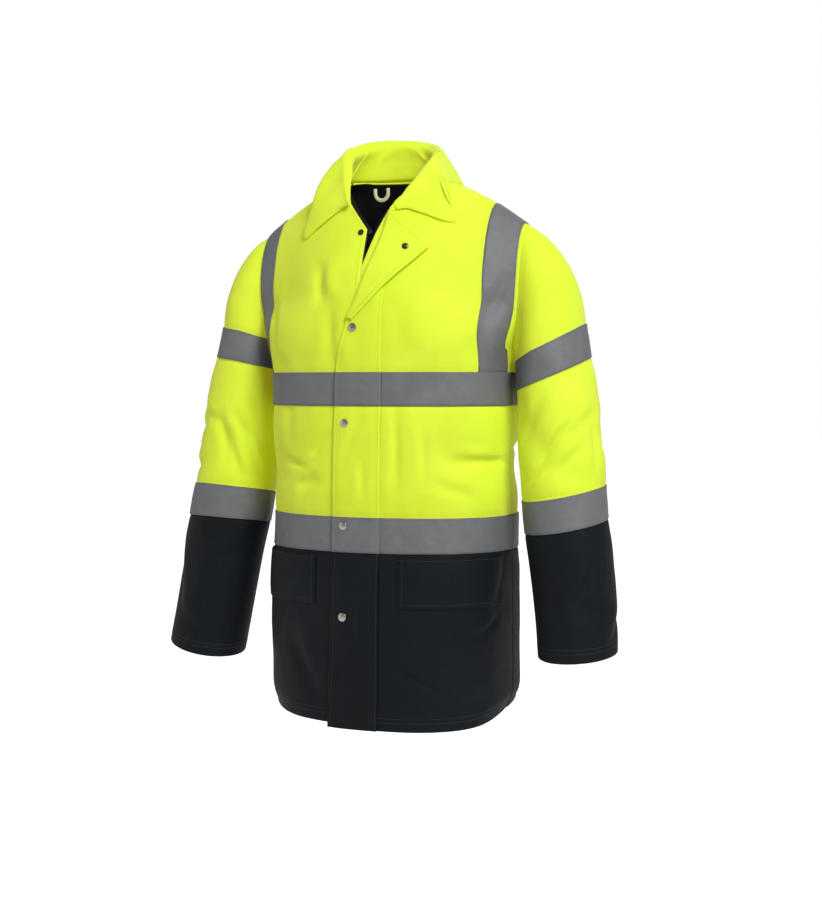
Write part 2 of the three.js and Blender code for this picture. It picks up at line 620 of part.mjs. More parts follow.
for (const [name, row] of Object.entries(tapeRow)) {
  addTape(`${name}_tape_front_right`, [cut(shell.frontRightUpper, row, row + 1, 1)]);
  addTape(`${name}_tape_front_left`, [cut(shell.frontLeftUpper, row, row + 1, flapSeamColumn)]);
  addTape(`${name}_tape_back`, [shell.backLeftUpper, shell.backRightUpper].map((sheet) => cut(sheet, row, row + 1)));
}
for (const side of ['Right', 'Left']) {
  for (const [name, ring] of [['upper', upperTapeRing], ['lower', lowerTapeRing]]) {
    const row = capRows.length + ring;
    addTape(`sleeve_tape_${side.toLowerCase()}_${name}`, [cut(shell[`upper${side}`], row, row + 1)]);
  }
}

// Brace tapes go up the front from the chest tape, over the shoulder seam and down the back
const braceRow = tapeRow.chest + 1;
const shoulderRow = shell.backLeftUpper.rows.length - 1;
for (const side of ['Right', 'Left']) {
  const { inner, outer } = braceColumns;
  const front = cut(shell[`front${side}Upper`], braceRow, shoulderRow, inner, outer);
  const back = cut(shell[`back${side}Upper`], braceRow, shoulderRow - 1, inner, outer);
  addTape(`brace_tape_${side.toLowerCase()}`, [{
    flip: front.flip,
    crossedFrom: shoulderRow - braceRow,
    rows: [...front.rows, ...back.rows.reverse()],
    normals: [...front.normals, ...back.normals.reverse()],
  }]);
}

// Pocket flaps on the dark skirt
const pocketRow = lowerRows.indexOf(level.pocketFlapBottom);
for (const side of ['Right', 'Left']) {
  const sheet = cut(shell[`front${side}Lower`], pocketRow, pocketRow + 2, 3, braceColumns.outer);
  addPiece(`pocket_flap_${side.toLowerCase()}`, wallGeometry([sheet], layerGap, layerGap + 2.2), colour.dark);
}

// Dark lining, a second wall inside the body. Its edge reaches past the neckline to hide the shell's edge.
const liningColumns = [0, 2, 4, 5, 6, 7, 8, 9];
function liningSheet(lower, upper, joined) {
  const rows = [...lower.rows.slice(0, -1), ...upper.rows];
  const kept = [...rows.keys()].filter((r) => r % 2 === 1 || r >= lower.rows.length);
  const full = withNormals({ rows }, bodyNormals);
  const pick = (grid) => kept.map((r) => liningColumns.map((c) => grid[r][c].clone()));
  const sheet = { flip: upper.flip, rows: pick(full.rows), normals: pick(full.normals) };
  sheet.joined = joined ? kept.filter((r) => r < lower.rows.length - 1 + joined).length : 0;
  for (const row of sheet.rows.slice(-4)) {
    row[0].addScaledVector(row[0].clone().sub(row[1]).normalize(), row[0].x ** 2 > 1 ? liningNeckReach : 0);
  }
  return sheet;
}
const liningPieces = [
  ['lining_front_right', [liningSheet(body.frontRightLower, body.frontRightUpper)]],
  ['lining_front_left', [liningSheet(body.frontLeftLower, body.frontLeftUpper)]],
  ['lining_back', [
    liningSheet(body.backLeftLower, body.backLeftUpper, backNeckRow),
    liningSheet(body.backRightLower, body.backRightUpper, backNeckRow),
  ]],
];
for (const [name, sheets] of liningPieces) {
  addPiece(name, wallGeometry(sheets, -liningDepth - cloth.lining, -liningDepth), colour.lining, 0.55);
}

// Collar and storm flap have sheets of their own
const alone = (rows) => withNormals({ rows }, collectNormals([{ rows }]));
const flapUpper = alone(flapRows('upper'));
addPiece('collar', wallGeometry([alone(collarRows())], 0, cloth.collar), colour.yellow);
addPiece('storm_flap_upper', wallGeometry([flapUpper], 0, cloth.flap), colour.yellow);
addPiece('storm_flap_lower', wallGeometry([alone(flapRows('lower'))], 0, cloth.flap), colour.dark);
addPiece('storm_flap_lapel', wallGeometry([alone(lapelRows())], 0, cloth.flap), colour.yellow);
for (const [name, row] of Object.entries(tapeRow)) {
  addTape(`${name}_tape_flap`, [cut(flapUpper, row, row + 1)], cloth.flap);
}

// Press studs: a low domed cap on the cloth
function studGeometry(radius, height) {
  const profile = [[0, 0], [radius, 0], [radius, height * 0.45], [radius * 0.72, height], [0, height]];
  const cap = new THREE.LatheGeometry(profile.map(([x, y]) => new THREE.Vector2(x, y)), 14);
  cap.rotateX(Math.PI / 2);
  return cap;
}

function addStud(name, point, normal, radius, height) {
  const mesh = addPiece(name, studGeometry(radius, height), colour.metal, 0.35, 0.9);
  mesh.position.copy(point);
  mesh.quaternion.setFromUnitVectors(new THREE.Vector3(0, 0, 1), normal);
}

studRows.forEach(({ x, z, onTape }, i) => {
  const height = flap.lift + cloth.flap + layerGap + (onTape ? tapeHigh : 0);
  addStud(`snap_cap_${i + 1}`, onFront(x, z, height), frontNormal(x, z), stud.radius, stud.height);
});
const lapelTop = flap.lift + flap.layer;
addStud('snap_socket_lapel', onFront(openStud.flapX, openStud.flapZ, lapelTop),
  frontNormal(openStud.flapX, openStud.flapZ), openStud.radius, 2);
addStud('snap_post_front', onFront(openStud.frontX, openStud.frontZ, layerGap),
  frontNormal(openStud.frontX, openStud.frontZ), openStud.radius, 2);

// Hanging loop: a flat tape in a U, sewn under the collar seam inside the back of the neck
const loopSeam = chestPoint(loop.x, chestShare(loop.x, neckPoint.z - 4), 1);
function loopPoint(turn, reach) {
  const x = loop.x + reach * Math.cos(turn);
  return new THREE.Vector3(x, loopSeam.y - loop.standOff, loopSeam.z - loop.straight - reach * Math.sin(turn));
}
const loopRows = Array.from({ length: 9 }, (_, i) => [loop.reach - loop.width, loop.reach]
  .map((reach) => loopPoint((Math.PI * i) / 8, reach)));
const loopEnd = (row) => row.map((point) => point.clone().setZ(point.z + loop.straight));
const loopGrid = [loopEnd(loopRows[0]), ...loopRows, loopEnd(loopRows[8])];
addPiece('hanger_loop', wallGeometry([alone(loopGrid)], 0, loop.thick), colour.loop);

export default jacket;
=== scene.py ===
# Looks for a padded high-visibility work jacket, filled out as if worn.
# Surfaces are worked out in millimetres, as in the CAD source, and become metres when a mesh is made.

import json
import math

import bmesh
import bpy
import numpy as np
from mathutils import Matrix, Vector


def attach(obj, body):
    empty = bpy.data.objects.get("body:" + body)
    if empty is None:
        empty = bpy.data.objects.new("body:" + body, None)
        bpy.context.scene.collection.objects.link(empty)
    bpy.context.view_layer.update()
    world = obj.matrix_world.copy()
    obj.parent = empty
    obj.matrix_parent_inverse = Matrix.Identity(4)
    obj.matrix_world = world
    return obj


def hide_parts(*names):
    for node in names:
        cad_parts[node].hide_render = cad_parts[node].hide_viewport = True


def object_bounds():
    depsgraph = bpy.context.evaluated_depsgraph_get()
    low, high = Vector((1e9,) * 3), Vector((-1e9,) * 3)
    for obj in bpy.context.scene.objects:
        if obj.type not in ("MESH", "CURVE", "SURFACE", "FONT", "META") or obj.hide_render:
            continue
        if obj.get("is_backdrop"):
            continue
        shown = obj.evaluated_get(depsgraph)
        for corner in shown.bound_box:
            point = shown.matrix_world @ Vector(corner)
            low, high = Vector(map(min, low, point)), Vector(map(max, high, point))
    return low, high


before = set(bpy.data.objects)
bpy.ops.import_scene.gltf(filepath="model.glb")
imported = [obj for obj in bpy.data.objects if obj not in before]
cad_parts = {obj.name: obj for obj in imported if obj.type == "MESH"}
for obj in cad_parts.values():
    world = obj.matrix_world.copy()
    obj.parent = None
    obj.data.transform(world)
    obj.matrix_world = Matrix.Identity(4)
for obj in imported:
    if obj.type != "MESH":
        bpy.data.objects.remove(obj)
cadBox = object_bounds()
scene = bpy.context.scene
print("frame loaded,", len(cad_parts), "nodes")

# the jacket's own sizes, as in the source of its solids, with a slightly rounder hem
body = {
    "sections": [(-805, 190, 152, 144), (-700, 191, 151, 141), (-543, 190, 147, 136),
                 (-410, 189, 143, 131), (-262, 194, 141, 130)],
    "power": 2.35,
    "chestPower": {-1: 1.85, 1: 2.2},
    "underarm": -246,
    "neckPoint": (82, 16),
    "shoulderPoint": (217, -60),
    "shoulderRounding": 7,
    "neckRise": 22,
    "frontNeckDrop": 83,
    "backNeckRise": 5,
    "armhole": {-1: 44, 1: 60},
    "armholeSpread": 4,
    "braceInnerX": 166,
    "armholeMargin": 6,
    "hem": {"start": -640, "end": -805, "side": -778, "tilt": -3},
    "hemDrop": {"left": 21, "right": 15, "back": -9},
    "hemTurn": {"by": 8, "rows": (755, 805), "corner": 2, "cornerRows": (768, 806), "cornerSides": (48, 80),
                "sides": {"right": (20, 62), "left": (45, 84), "back": (45, 84)}},
    "columnAngles": [0, 4, 9, 17, 28, 42, 57, 68, 79, 90],
    "armholeRows": [0, 0.04, 0.13, 0.27, 0.43, 0.6, 0.73, 0.84, 0.93, 0.985, 1],
}
level = {"chestTop": -279, "chestBottom": -329, "waistTop": -491, "waistBottom": -543,
         "pocketTop": -549, "pocketBottom": -621}


def smoothCurve(keys, values, at):
    # a smooth line through a table, with the same slopes as the CAD source
    keys, values = np.asarray(keys, float), np.asarray(values, float)
    if keys[0] > keys[-1]:
        keys, values = keys[::-1], values[::-1]
    at = np.asarray(at, float)
    i = np.clip(np.searchsorted(keys, at, side="left") - 1, 0, len(keys) - 2)
    before, after = np.maximum(i - 1, 0), np.minimum(i + 2, len(keys) - 1)
    span = keys[i + 1] - keys[i]
    t = np.clip((at - keys[i]) / span, 0, 1)
    slopeA = (values[i + 1] - values[before]) / (keys[i + 1] - keys[before]) * span
    slopeB = (values[after] - values[i]) / (keys[after] - keys[i]) * span
    return ((2 * t**3 - 3 * t**2 + 1) * values[i] + (t**3 - 2 * t**2 + t) * slopeA
            + (3 * t**2 - 2 * t**3) * values[i + 1] + (t**3 - t**2) * slopeB)


def smoothStep(value, low, high):
    t = np.clip((value - low) / (high - low), 0, 1)
    return t * t * (3 - 2 * t)


def bump(value, centre, width):
    return np.exp(-(((value - centre) / width) ** 2))


def softNoise(u, v, size, seed):
    # smooth noise from a small fixed lattice, between -1 and 1
    lattice = np.random.RandomState(seed).uniform(-1, 1, (64, 64))
    u, v = u / size + 31.7, v / size + 17.3
    i, j = np.floor(u).astype(int), np.floor(v).astype(int)
    a, b = u - i, v - j
    a, b = a * a * (3 - 2 * a), b * b * (3 - 2 * b)
    corner = lambda p, q: lattice[p % 64, q % 64]
    return ((corner(i, j) * (1 - a) + corner(i + 1, j) * a) * (1 - b)
            + (corner(i, j + 1) * (1 - a) + corner(i + 1, j + 1) * a) * b)


# how the padding fills the cloth, in millimetres
padding = {"puff": 1.8, "pull": 1.3, "gather": 0.8, "gatherPitch": 13, "uneven": 1.5, "fine": 0.5,
           "crease": 1.7}


def creaseDepth(creases, across, height):
    # each crease is a valley with a softer ridge on its upper side, fading out to points
    total = np.zeros(np.broadcast(across, height).shape)
    for s, z, run, width, tilt, depth in creases:
        turn = math.radians(tilt)
        u = (across - s) * math.cos(turn) + (height - z) * math.sin(turn)
        v = -(across - s) * math.sin(turn) + (height - z) * math.cos(turn)
        fade = np.clip(1 - (u / (run * 1.25)) ** 2, 0, None) ** 1.5
        valley = width * (0.75 + 0.5 * (u / run) ** 2)
        total += padding["crease"] * fade * (-depth * np.exp(-((v / valley) ** 2))
                         + 0.45 * depth * np.exp(-(((v - 1.9 * valley) / (1.3 * valley)) ** 2)))
    return total


# the body below and above the underarm, from the same formulas as its solids
cadFolds = {
    "body": [(62, -412, 70, 30, -4, -6), (-58, -425, 60, 30, 12, -6), (45, -690, 90, 36, -40, -5),
             (-40, -700, 80, 36, 30, -4), (120, -415, 80, 32, 8, -6), (-125, -425, 80, 32, -8, -6),
             (165, -660, 100, 36, 70, -5), (-150, -670, 90, 36, -72, -4)],
    1: [(110, -375, 60, 26, 55, -5), (60, -420, 55, 26, 30, -4), (70, -590, 60, 26, 60, -4),
        (-70, -385, 50, 26, -30, -4)],
    -1: [(110, -375, 70, 26, 60, -5), (60, -420, 50, 26, 30, -4), (-70, -390, 50, 26, -30, -4),
         (60, -600, 60, 28, 75, -3)],
}


def foldDepth(folds, angle, z, perDegree):
    depth = 0
    for at, height, run, across, tilt, deep in folds:
        turn = angle - at
        turn = turn - 360 * np.round(turn / 360)
        dx, dz, lean = turn * perDegree, z - height, math.radians(tilt)
        u = dx * math.cos(lean) + dz * math.sin(lean)
        v = -dx * math.sin(lean) + dz * math.cos(lean)
        depth = depth + deep * np.exp(-((u / run) ** 2) - (v / across) ** 2)
    return depth


def section(z, column):
    table = body["sections"]
    return smoothCurve([row[0] for row in table], [row[column] for row in table], z)


def bodyRing(angle, z, drop):
    half = section(z, 1)
    deep = np.where(np.abs(angle) <= 90, section(z, 2), section(z, 3))
    sine, cosine = np.sin(np.radians(angle)), np.cos(np.radians(angle))
    power = 2 / body["power"]
    hem = body["hem"]
    lowered = np.maximum(0, (hem["start"] - z) / (hem["start"] - hem["end"])) ** 2
    side = hem["side"] + hem["tilt"] * sine
    corner = 1 - (1 - np.abs(cosine)) ** 3
    fold = 1 + foldDepth(cadFolds["body"], angle, z, 2.9) / half
    return np.stack([
        fold * half * np.sign(sine) * np.abs(sine) ** power,
        -fold * deep * np.sign(cosine) * np.abs(cosine) ** power,
        z + lowered * (side - drop * (0.3 * cosine**2 + 0.7 * corner) - hem["end"]),
    ], -1)


def shoulderLine(x):
    (nx, nz), (sx, sz) = body["neckPoint"], body["shoulderPoint"]
    along = (x - nx) / (sx - nx)
    outer = nz + (sz - nz) * along + body["shoulderRounding"] * np.sin(math.pi * along)
    return np.where(x >= nx, outer, nz + body["neckRise"] * (1 - (x / nx) ** 2))


def armholeX(share):
    half = section(body["underarm"], 1)
    return half + (body["shoulderPoint"][0] - half) * (1 - (1 - share) ** body["armholeSpread"])


def chestPoint(x, share, side):
    across = np.abs(x)
    z = body["underarm"] + (shoulderLine(across) - body["underarm"]) * share
    power = body["chestPower"][side]
    full = section(body["underarm"], 2 if side < 0 else 3)
    centre = full * np.maximum(0, 1 - share**power) ** (1 / power)
    edge = 2 * np.sqrt(np.maximum(0, share * (1 - share))) * body["armhole"][side]
    rounding = body["power"] + (1 - body["power"]) * smoothStep(share, 0, 0.35)
    fall = np.maximum(0, 1 - (across / armholeX(share)) ** body["power"]) ** (1 / rounding)
    return np.stack([x + 0 * z, side * (centre * fall + edge * (1 - fall) ** 2), z], -1)


def chestShare(x, z):
    return (z - body["underarm"]) / (shoulderLine(np.abs(x)) - body["underarm"])


def frontPoint(x, z):
    x, z = np.broadcast_arrays(np.asarray(x, float), np.asarray(z, float))
    high = chestPoint(x, np.maximum(chestShare(x, z), 0), -1)
    sine = np.clip(np.abs(x) / section(z, 1), 0, 1) ** (body["power"] / 2)
    low = bodyRing(np.sign(x) * np.degrees(np.arcsin(sine)), z, body["hemDrop"]["left"])
    return np.where((z > body["underarm"])[..., None], high, low)


def frontNormal(x, z):
    n = np.cross(frontPoint(x + 1, z) - frontPoint(x - 1, z), frontPoint(x, z + 1) - frontPoint(x, z - 1))
    return n / np.linalg.norm(n, axis=-1, keepdims=True)


def neckline(position):
    nx, nz = body["neckPoint"]
    position = np.asarray(position, float)
    turn = np.radians(90 * (position - 1))
    front = position <= 1
    x = np.where(front, nx * position, nx * np.cos(turn))
    drop = body["frontNeckDrop"] * np.maximum(0, 1 - position) ** 1.1
    z = np.where(front, nz - drop, nz + body["backNeckRise"] * np.sin(turn))
    return x, np.minimum(1, chestShare(x, z))


# Creases: distance across from the centre line, height, half run, width, tilt, depth
creases = {
    "front": [
        (-71, -147, 31, 13, -79, 4.5), (-46, -222, 46, 12, -89, 2.6), (131, -131, 53, 13, 60, 2.2),
        (109, -129, 32, 10, 78, 1.5), (61, -392, 70, 8, 90, 3), (102, -397, 47, 7, 90, 2),
        (12, -438, 32, 7, 90, 1.6), (-6, -377, 34, 7, 64, 1.5), (-110, -415, 34, 7, -13, 3.4),
        (-84, -442, 22, 12, 23, 3.2), (-63, -387, 24, 8, 46, 2.2), (204, -410, 62, 8, 0, 4.4),
        (150, -452, 38, 10, -18, 1.6), (92, -723, 56, 8, -22, 3.4), (203, -655, 40, 8, 29, 2.2),
        (-7, -583, 34, 7, 88, 1.2), (9, -648, 59, 7, 89, 1.4), (28, -647, 100, 7, -90, 1.3),
        (190, -210, 56, 16, 70, 1.8), (-127, -343, 44, 14, 86, 1.6), (65, -218, 44, 16, -89, 1.2),
        (160, -765, 61, 16, 10, 2.2), (-90, -715, 58, 16, -55, 2.4), (-150, -640, 50, 13, 60, 2.2),
        (-180, -200, 46, 12, -62, 2.4), (-160, -250, 34, 10, -40, 1.8), (210, -160, 40, 12, 62, 2.2),
        (120, -45, 34, 11, 24, 1.6), (-118, -40, 34, 11, -28, 1.8), (232, -590, 60, 14, 74, 2),
    ],
    "back": [
        (0, -110, 95, 22, 2, 2.6), (92, -60, 60, 16, 24, 2.2), (-92, -62, 60, 16, -24, 2.2),
        (168, -170, 60, 13, -58, 3), (-168, -172, 60, 13, 58, 3), (190, -225, 40, 10, -44, 2.2),
        (-190, -222, 40, 10, 44, 2.2), (60, -400, 80, 12, 4, 3), (-110, -388, 70, 11, -10, 3),
        (150, -450, 60, 10, 14, 2.6), (-20, -440, 70, 10, -3, 2.2), (-190, -432, 54, 10, 16, 2.6),
        (30, -640, 90, 18, 84, 2.6), (-60, -690, 80, 18, -82, 2.6), (140, -700, 70, 16, 70, 2.4),
        (-150, -650, 80, 16, -76, 2.4), (90, -590, 50, 10, 30, 1.8), (-30, -580, 54, 10, -20, 1.8),
        (205, -390, 40, 9, -6, 2.6), (100, -220, 60, 16, 80, 1.8), (-70, -215, 60, 16, -78, 1.8),
    ],
    "sleeveRight": [
        (148, -340, 34, 9, -78, 4.6), (132, -372, 40, 9, -55, 2.2), (162, -392, 44, 10, -52, 5),
        (100, -388, 48, 11, -72, 4.2), (122, -410, 44, 10, -64, 3.6), (150, -420, 48, 10, -60, 3.4),
        (60, -352, 34, 9, -24, 2), (129, -565, 33, 14, 14, 1.6), (153, -620, 30, 14, 16, 1.6),
        (102, -671, 37, 12, -9, 1.5), (20, -380, 44, 11, 30, 2.4), (20, -430, 40, 10, -20, 2.2),
        (-60, -350, 50, 11, 34, 3), (-50, -405, 46, 10, -22, 3), (-90, -440, 40, 10, 8, 2.4),
        (-70, -560, 60, 13, 60, 2.4), (40, -610, 60, 14, -70, 2), (-30, -650, 50, 12, 40, 2),
        (90, -245, 30, 10, -30, 1.4), (-80, -260, 40, 12, 36, 2),
    ],
    "sleeveLeft": [
        (135, -349, 51, 9, -43, 4.2), (95, -384, 58, 7, -42, 3), (40, -362, 44, 11, -25, 2),
        (20, -400, 38, 9, -88, 2.2), (55, -576, 29, 8, -64, 2.4), (48, -614, 25, 10, -2, 1.8),
        (107, -614, 46, 12, 76, 1.6), (70, -468, 36, 12, 14, 1), (59, -402, 31, 8, -34, 1.8),
        (-60, -350, 50, 11, -34, 3), (-50, -410, 46, 10, 22, 3), (-90, -440, 40, 10, -8, 2.4),
        (-70, -570, 60, 13, -60, 2.4), (-20, -640, 50, 12, -40, 2), (128, -420, 34, 9, -30, 2.6),
        (100, -262, 34, 10, 24, 1.6), (-80, -270, 40, 12, -36, 2), (20, -300, 40, 12, 50, 1.4),
    ],
}


def seamPull(z, seams, reach=15):
    # the padding swells between sewn lines and is pulled in on them
    gap = np.min([np.abs(z - seam) for seam in seams], axis=0)
    return gap, padding["puff"] * smoothStep(gap, 2, 38) - padding["pull"] * np.exp(-((gap / 4.5) ** 2))


def bodyRelief(side, across, z):
    seams = [level["chestTop"], level["chestBottom"], level["waistTop"], level["waistBottom"]]
    gap, relief = seamPull(z, seams)
    onTape = ((z < level["chestTop"]) & (z > level["chestBottom"])) | (
        (z < level["waistTop"]) & (z > level["waistBottom"]))
    relief = np.where(onTape, -0.7 + 0.2 * smoothStep(gap, 2, 25), relief)
    gather = softNoise(across, z * 0.12, padding["gatherPitch"], 5) * padding["gather"]
    relief = relief + gather * np.exp(-gap / 16) * np.where(onTape, 0.5, 1)
    seed = 11 if side < 0 else 23
    relief = relief + softNoise(across, z, 95, seed) * padding["uneven"]
    relief = relief + softNoise(across, z, 26, seed + 1) * padding["fine"]
    share = np.where(onTape, 0.45, 1)
    return relief + share * creaseDepth(creases["front" if side < 0 else "back"], across, z)


def gridNormals(points, closed=False, flip=False):
    if closed:
        along = np.roll(points, -1, 1) - np.roll(points, 1, 1)
    else:
        along = np.gradient(points, axis=1)
    normal = np.cross(along, np.gradient(points, axis=0))
    length = np.linalg.norm(normal, axis=-1, keepdims=True)
    normal = normal / np.maximum(length, 1e-9)
    for row, near in ((0, 1), (-1, -2)):  # a row that closes to a point takes its neighbour's
        thin = length[row, :, 0] < 1e-6
        normal[row, thin] = normal[near, thin]
    return -normal if flip else normal


def edgedSteps(values, step, edge=1.3):
    # positions from the first to the last value, closer together at every given value
    out = []
    for a, b in zip(values[:-1], values[1:]):
        count = max(3, round(abs(b - a) / step))
        inner = np.linspace(a, b, count + 1)
        near = edge / abs(b - a)
        inner = np.insert(inner[1:-1], [0, count - 1], [a + (b - a) * near, b - (b - a) * near])
        out += [a, *sorted(inner, reverse=bool(b < a))]
    return np.array([*out, values[-1]])


# how fine the meshes are: millimetres between columns and rows, columns round a sleeve, rows up its cap
grain = {"column": 4.6, "row": 4.4, "roundSleeve": 108, "sleeveCap": 30}
ringAngles = np.linspace(0, 90, 2000)
ringArc = np.concatenate([[0], np.cumsum(np.linalg.norm(np.diff(
    bodyRing(ringAngles, np.full(2000, -400.0), 0)[:, :2], axis=0), axis=1))])
fullArc = float(ringArc[-1])


def anglesBetween(first, last):
    stops = [a for a in (0, 9, 57, 79, 90) if first <= a <= last]
    arcs = edgedSteps(np.interp(stops, ringAngles, ringArc), grain["column"])
    return np.interp(arcs, ringArc, ringAngles)


starts = {
    "right": [(0.04, 0), (0.13, 0), (0.27, 0), (0.43, 0), (0.58, 0), 0, 0.22, 0.47, 0.75, 1],
    "left": [(0.04, 0), (0.13, 0), (0.27, 0), (0.43, 0), (0.6, 14), 0.34, 0.42, 0.6, 0.8, 1],
    "back": [(0.04, 0), (0.13, 0), (0.27, 0), (0.43, 0), (0.6, 0), (0.75, 0), 2, 1.6, 1.3, 1],
}


def rowStart(panel, k):
    # where row k above the underarm begins: up the centre edge, then along the neckline
    rows = starts[panel]
    straight = [row for row in rows if isinstance(row, tuple)]
    turn = len(straight)
    positions = rows[turn:]
    position = np.interp(k, range(turn + 1, len(rows) + 1), positions)
    neckX, neckShare = neckline(position)
    keys = [0, *range(1, turn + 1), turn + 1]
    firstX, firstShare = neckline(positions[0])
    lowX = np.interp(k, keys, [0, *(row[1] for row in straight), float(firstX)])
    lowShare = np.interp(k, keys, [0, *(row[0] for row in straight), float(firstShare)])
    past = k >= turn + 1
    return np.where(past, neckX, lowX), np.where(past, neckShare, lowShare)


def chestRows(panel, sign, k, angles):
    side = 1 if panel == "back" else -1
    column = np.interp(angles, body["columnAngles"], range(10))
    power = 2 / body["power"]
    half = section(body["underarm"], 1)
    ringX = half * np.sin(np.radians(angles)) ** power
    braceX = half * np.sin(np.radians(57)) ** power
    shares = np.minimum(ringX / braceX, 1)
    startX, startShare = (value[:, None] for value in rowStart(panel, k))
    endShare = np.interp(k, range(11), body["armholeRows"])[:, None]
    endX = armholeX(endShare)
    outer = endX - body["armholeMargin"]
    inner = startX + (body["braceInnerX"] - startX) * shares
    brace = body["braceInnerX"] + (outer - body["braceInnerX"]) * np.clip((column - 6) / 2, 0, 1)
    x = np.where(column <= 6, inner, np.where(column <= 8, brace, outer + (endX - outer) * (column - 8)))
    share = startShare + (endShare - startShare) * (x - startX) / (endX - startX)
    low = np.minimum(1, k)[:, None]
    x = ringX + (x - ringX) * (low + (1 - low) * np.clip(column - 8, 0, 1))
    return chestPoint(sign * x, np.minimum(1, share), side), startX[:, 0]


def arcAcross(points, start):
    step = np.linalg.norm(np.diff(points, axis=1), axis=-1)
    return start[:, None] + np.concatenate([np.zeros((len(points), 1)), np.cumsum(step, 1)], 1)


def easedAtUnderarm(points, angles):
    # softens the corner where the body's rings meet the armhole, except on the seam itself
    out = points.copy()
    for c, angle in enumerate(angles):
        z = points[:, c, 2]
        near = np.exp(-(((z - body["underarm"]) / 34) ** 2)) * (1 - smoothStep(angle, 76, 89))
        if angle < 30:
            continue
        weight = np.exp(-(((z[:, None] - z[None, :]) / 24) ** 2)) * np.gradient(z)[None, :]
        smooth = weight @ points[:, c, :2] / weight.sum(1, keepdims=True)
        out[:, c, :2] += (smooth - points[:, c, :2]) * near[:, None]
    return out


def bodySheet(panel, sign, rowStops, chest, first=0, last=90):
    # one half of the front or back: its smooth surface, then its relief
    angles = anglesBetween(first, last)
    ringTurn = sign * (180 - angles if panel == "back" else angles)
    side = 1 if panel == "back" else -1
    zRows = edgedSteps(rowStops, grain["row"])
    points = bodyRing(ringTurn[None, :], zRows[:, None], body["hemDrop"][panel])
    start = np.full(len(zRows), np.interp(first, ringAngles, ringArc))
    if chest:
        k = np.concatenate([np.linspace(0, 1, 5)[1:], np.linspace(1, 9, 57)[1:], np.linspace(9, 10, 9)[1:]])
        k = np.sort(np.concatenate([k, [9.93]]))
        high, highStart = chestRows(panel, sign, k, angles)
        points = np.concatenate([points, high])
        start = np.concatenate([start, highStart])
        points = easedAtUnderarm(points, angles)
    across = sign * arcAcross(points, start)
    flip = (panel == "back") == (sign > 0)
    normals = gridNormals(points, flip=flip)
    relief = bodyRelief(side, across, points[..., 2])
    # the hem turns in, more towards the sides, and a little more on the wearer's left
    turnIn = body["hemTurn"]
    sideways = smoothStep(angles, *turnIn["sides"][panel])
    down = smoothStep(-zRows, *turnIn["rows"]) ** 1.5
    rounded = turnIn["corner"] * smoothStep(-zRows, *turnIn["cornerRows"])[:, None]
    rounded = rounded * smoothStep(angles, *turnIn["cornerSides"])[None, :]
    relief[:len(zRows)] -= turnIn["by"] * down[:, None] * sideways[None, :] + rounded * (sign > 0)
    # beside the sleeves the cloth has no room to swell, and at seams both sheets stay together
    seam = fullArc - np.abs(across)
    beside = smoothStep(-points[..., 2], -body["underarm"] - 70, -body["underarm"] - 10)
    relief = relief * (1 - beside) + np.minimum(relief, 3 * smoothStep(seam, 22, 70)) * beside
    if chest:
        fromShoulder = np.linalg.norm(points - points[-1:], axis=-1)
        fromArmhole = np.linalg.norm(points - points[:, -1:], axis=-1)
        upward = smoothStep(points[..., 2], body["underarm"] - 90, body["underarm"] - 10)
        relief = relief * smoothStep(fromShoulder, 0, 22)
        relief = relief * (1 - upward * (1 - smoothStep(fromArmhole, 0, 20)))
    return {"base": points, "normals": normals, "relief": relief, "across": across,
            "outer": points + normals * relief[..., None], "flip": flip, "closed": False}


# each sleeve is a cap, then rings down to the cuff
# height, centre x and y, half width, half depth, rise outwards and backwards, dip under the arm
sleeveRings = {
    -1: [(-211, 249, 8, 50, 67, 0.15, 0, 0.22), (-260, 255, 5, 55, 67, 0.12, -0.02, 0.14),
         (-318, 261, 1, 60, 66, 0.12, -0.05, 0.05), (-374, 266, -4, 62, 66, 0.1, -0.1, 0),
         (-422, 272, -8, 64, 66, 0.08, -0.12, 0), (-462, 278, -12, 65, 65, 0.06, -0.13, 0),
         (-511, 284, -17, 64, 64, 0.05, -0.1, 0), (-558, 291, -22, 62, 63, 0.08, -0.04, 0),
         (-609, 297, -28, 60, 62, 0.13, 0, 0), (-660, 303, -35, 59, 61, 0.18, 0.04, 0),
         (-712, 309, -42, 58, 60, 0.2, 0.08, 0)],
    1: [(-232, 249, 8, 50, 67, 0.46, 0.18, 0.12), (-280, 255, 5, 54, 67, 0.38, 0.17, 0.06),
        (-331, 261, 1, 58, 66, 0.3, 0.15, 0.02), (-378, 265, -4, 60, 65, 0.24, 0.13, 0),
        (-419, 271, -8, 61, 65, 0.2, 0.12, 0), (-455, 275, -12, 61, 64, 0.17, 0.11, 0),
        (-503, 281, -17, 61, 63, 0.16, 0.12, 0), (-548, 288, -22, 60, 62, 0.12, 0.1, 0),
        (-594, 294, -28, 58, 61, 0.09, 0.1, 0), (-641, 300, -34, 57, 60, 0.07, 0.1, 0),
        (-686, 304, -40, 56, 59, 0.05, 0.1, 0)],
}


def sleeveRing(arm, z, turn):
    table = np.array(sleeveRings[arm], float)
    x, y, across, deep, out, back, dip = (smoothCurve(table[:, 0], table[:, k], z) for k in range(1, 8))
    outward, backward = np.cos(turn) * across, -np.sin(turn) * deep
    rise = out * outward + back * backward - dip * across * np.maximum(0, -np.cos(turn)) ** 1.5
    fold = 1 + foldDepth(cadFolds[arm], np.degrees(turn), z + rise, 1.1) / across
    return np.stack([arm * (x + outward * fold), y + backward * fold, z + rise], -1)


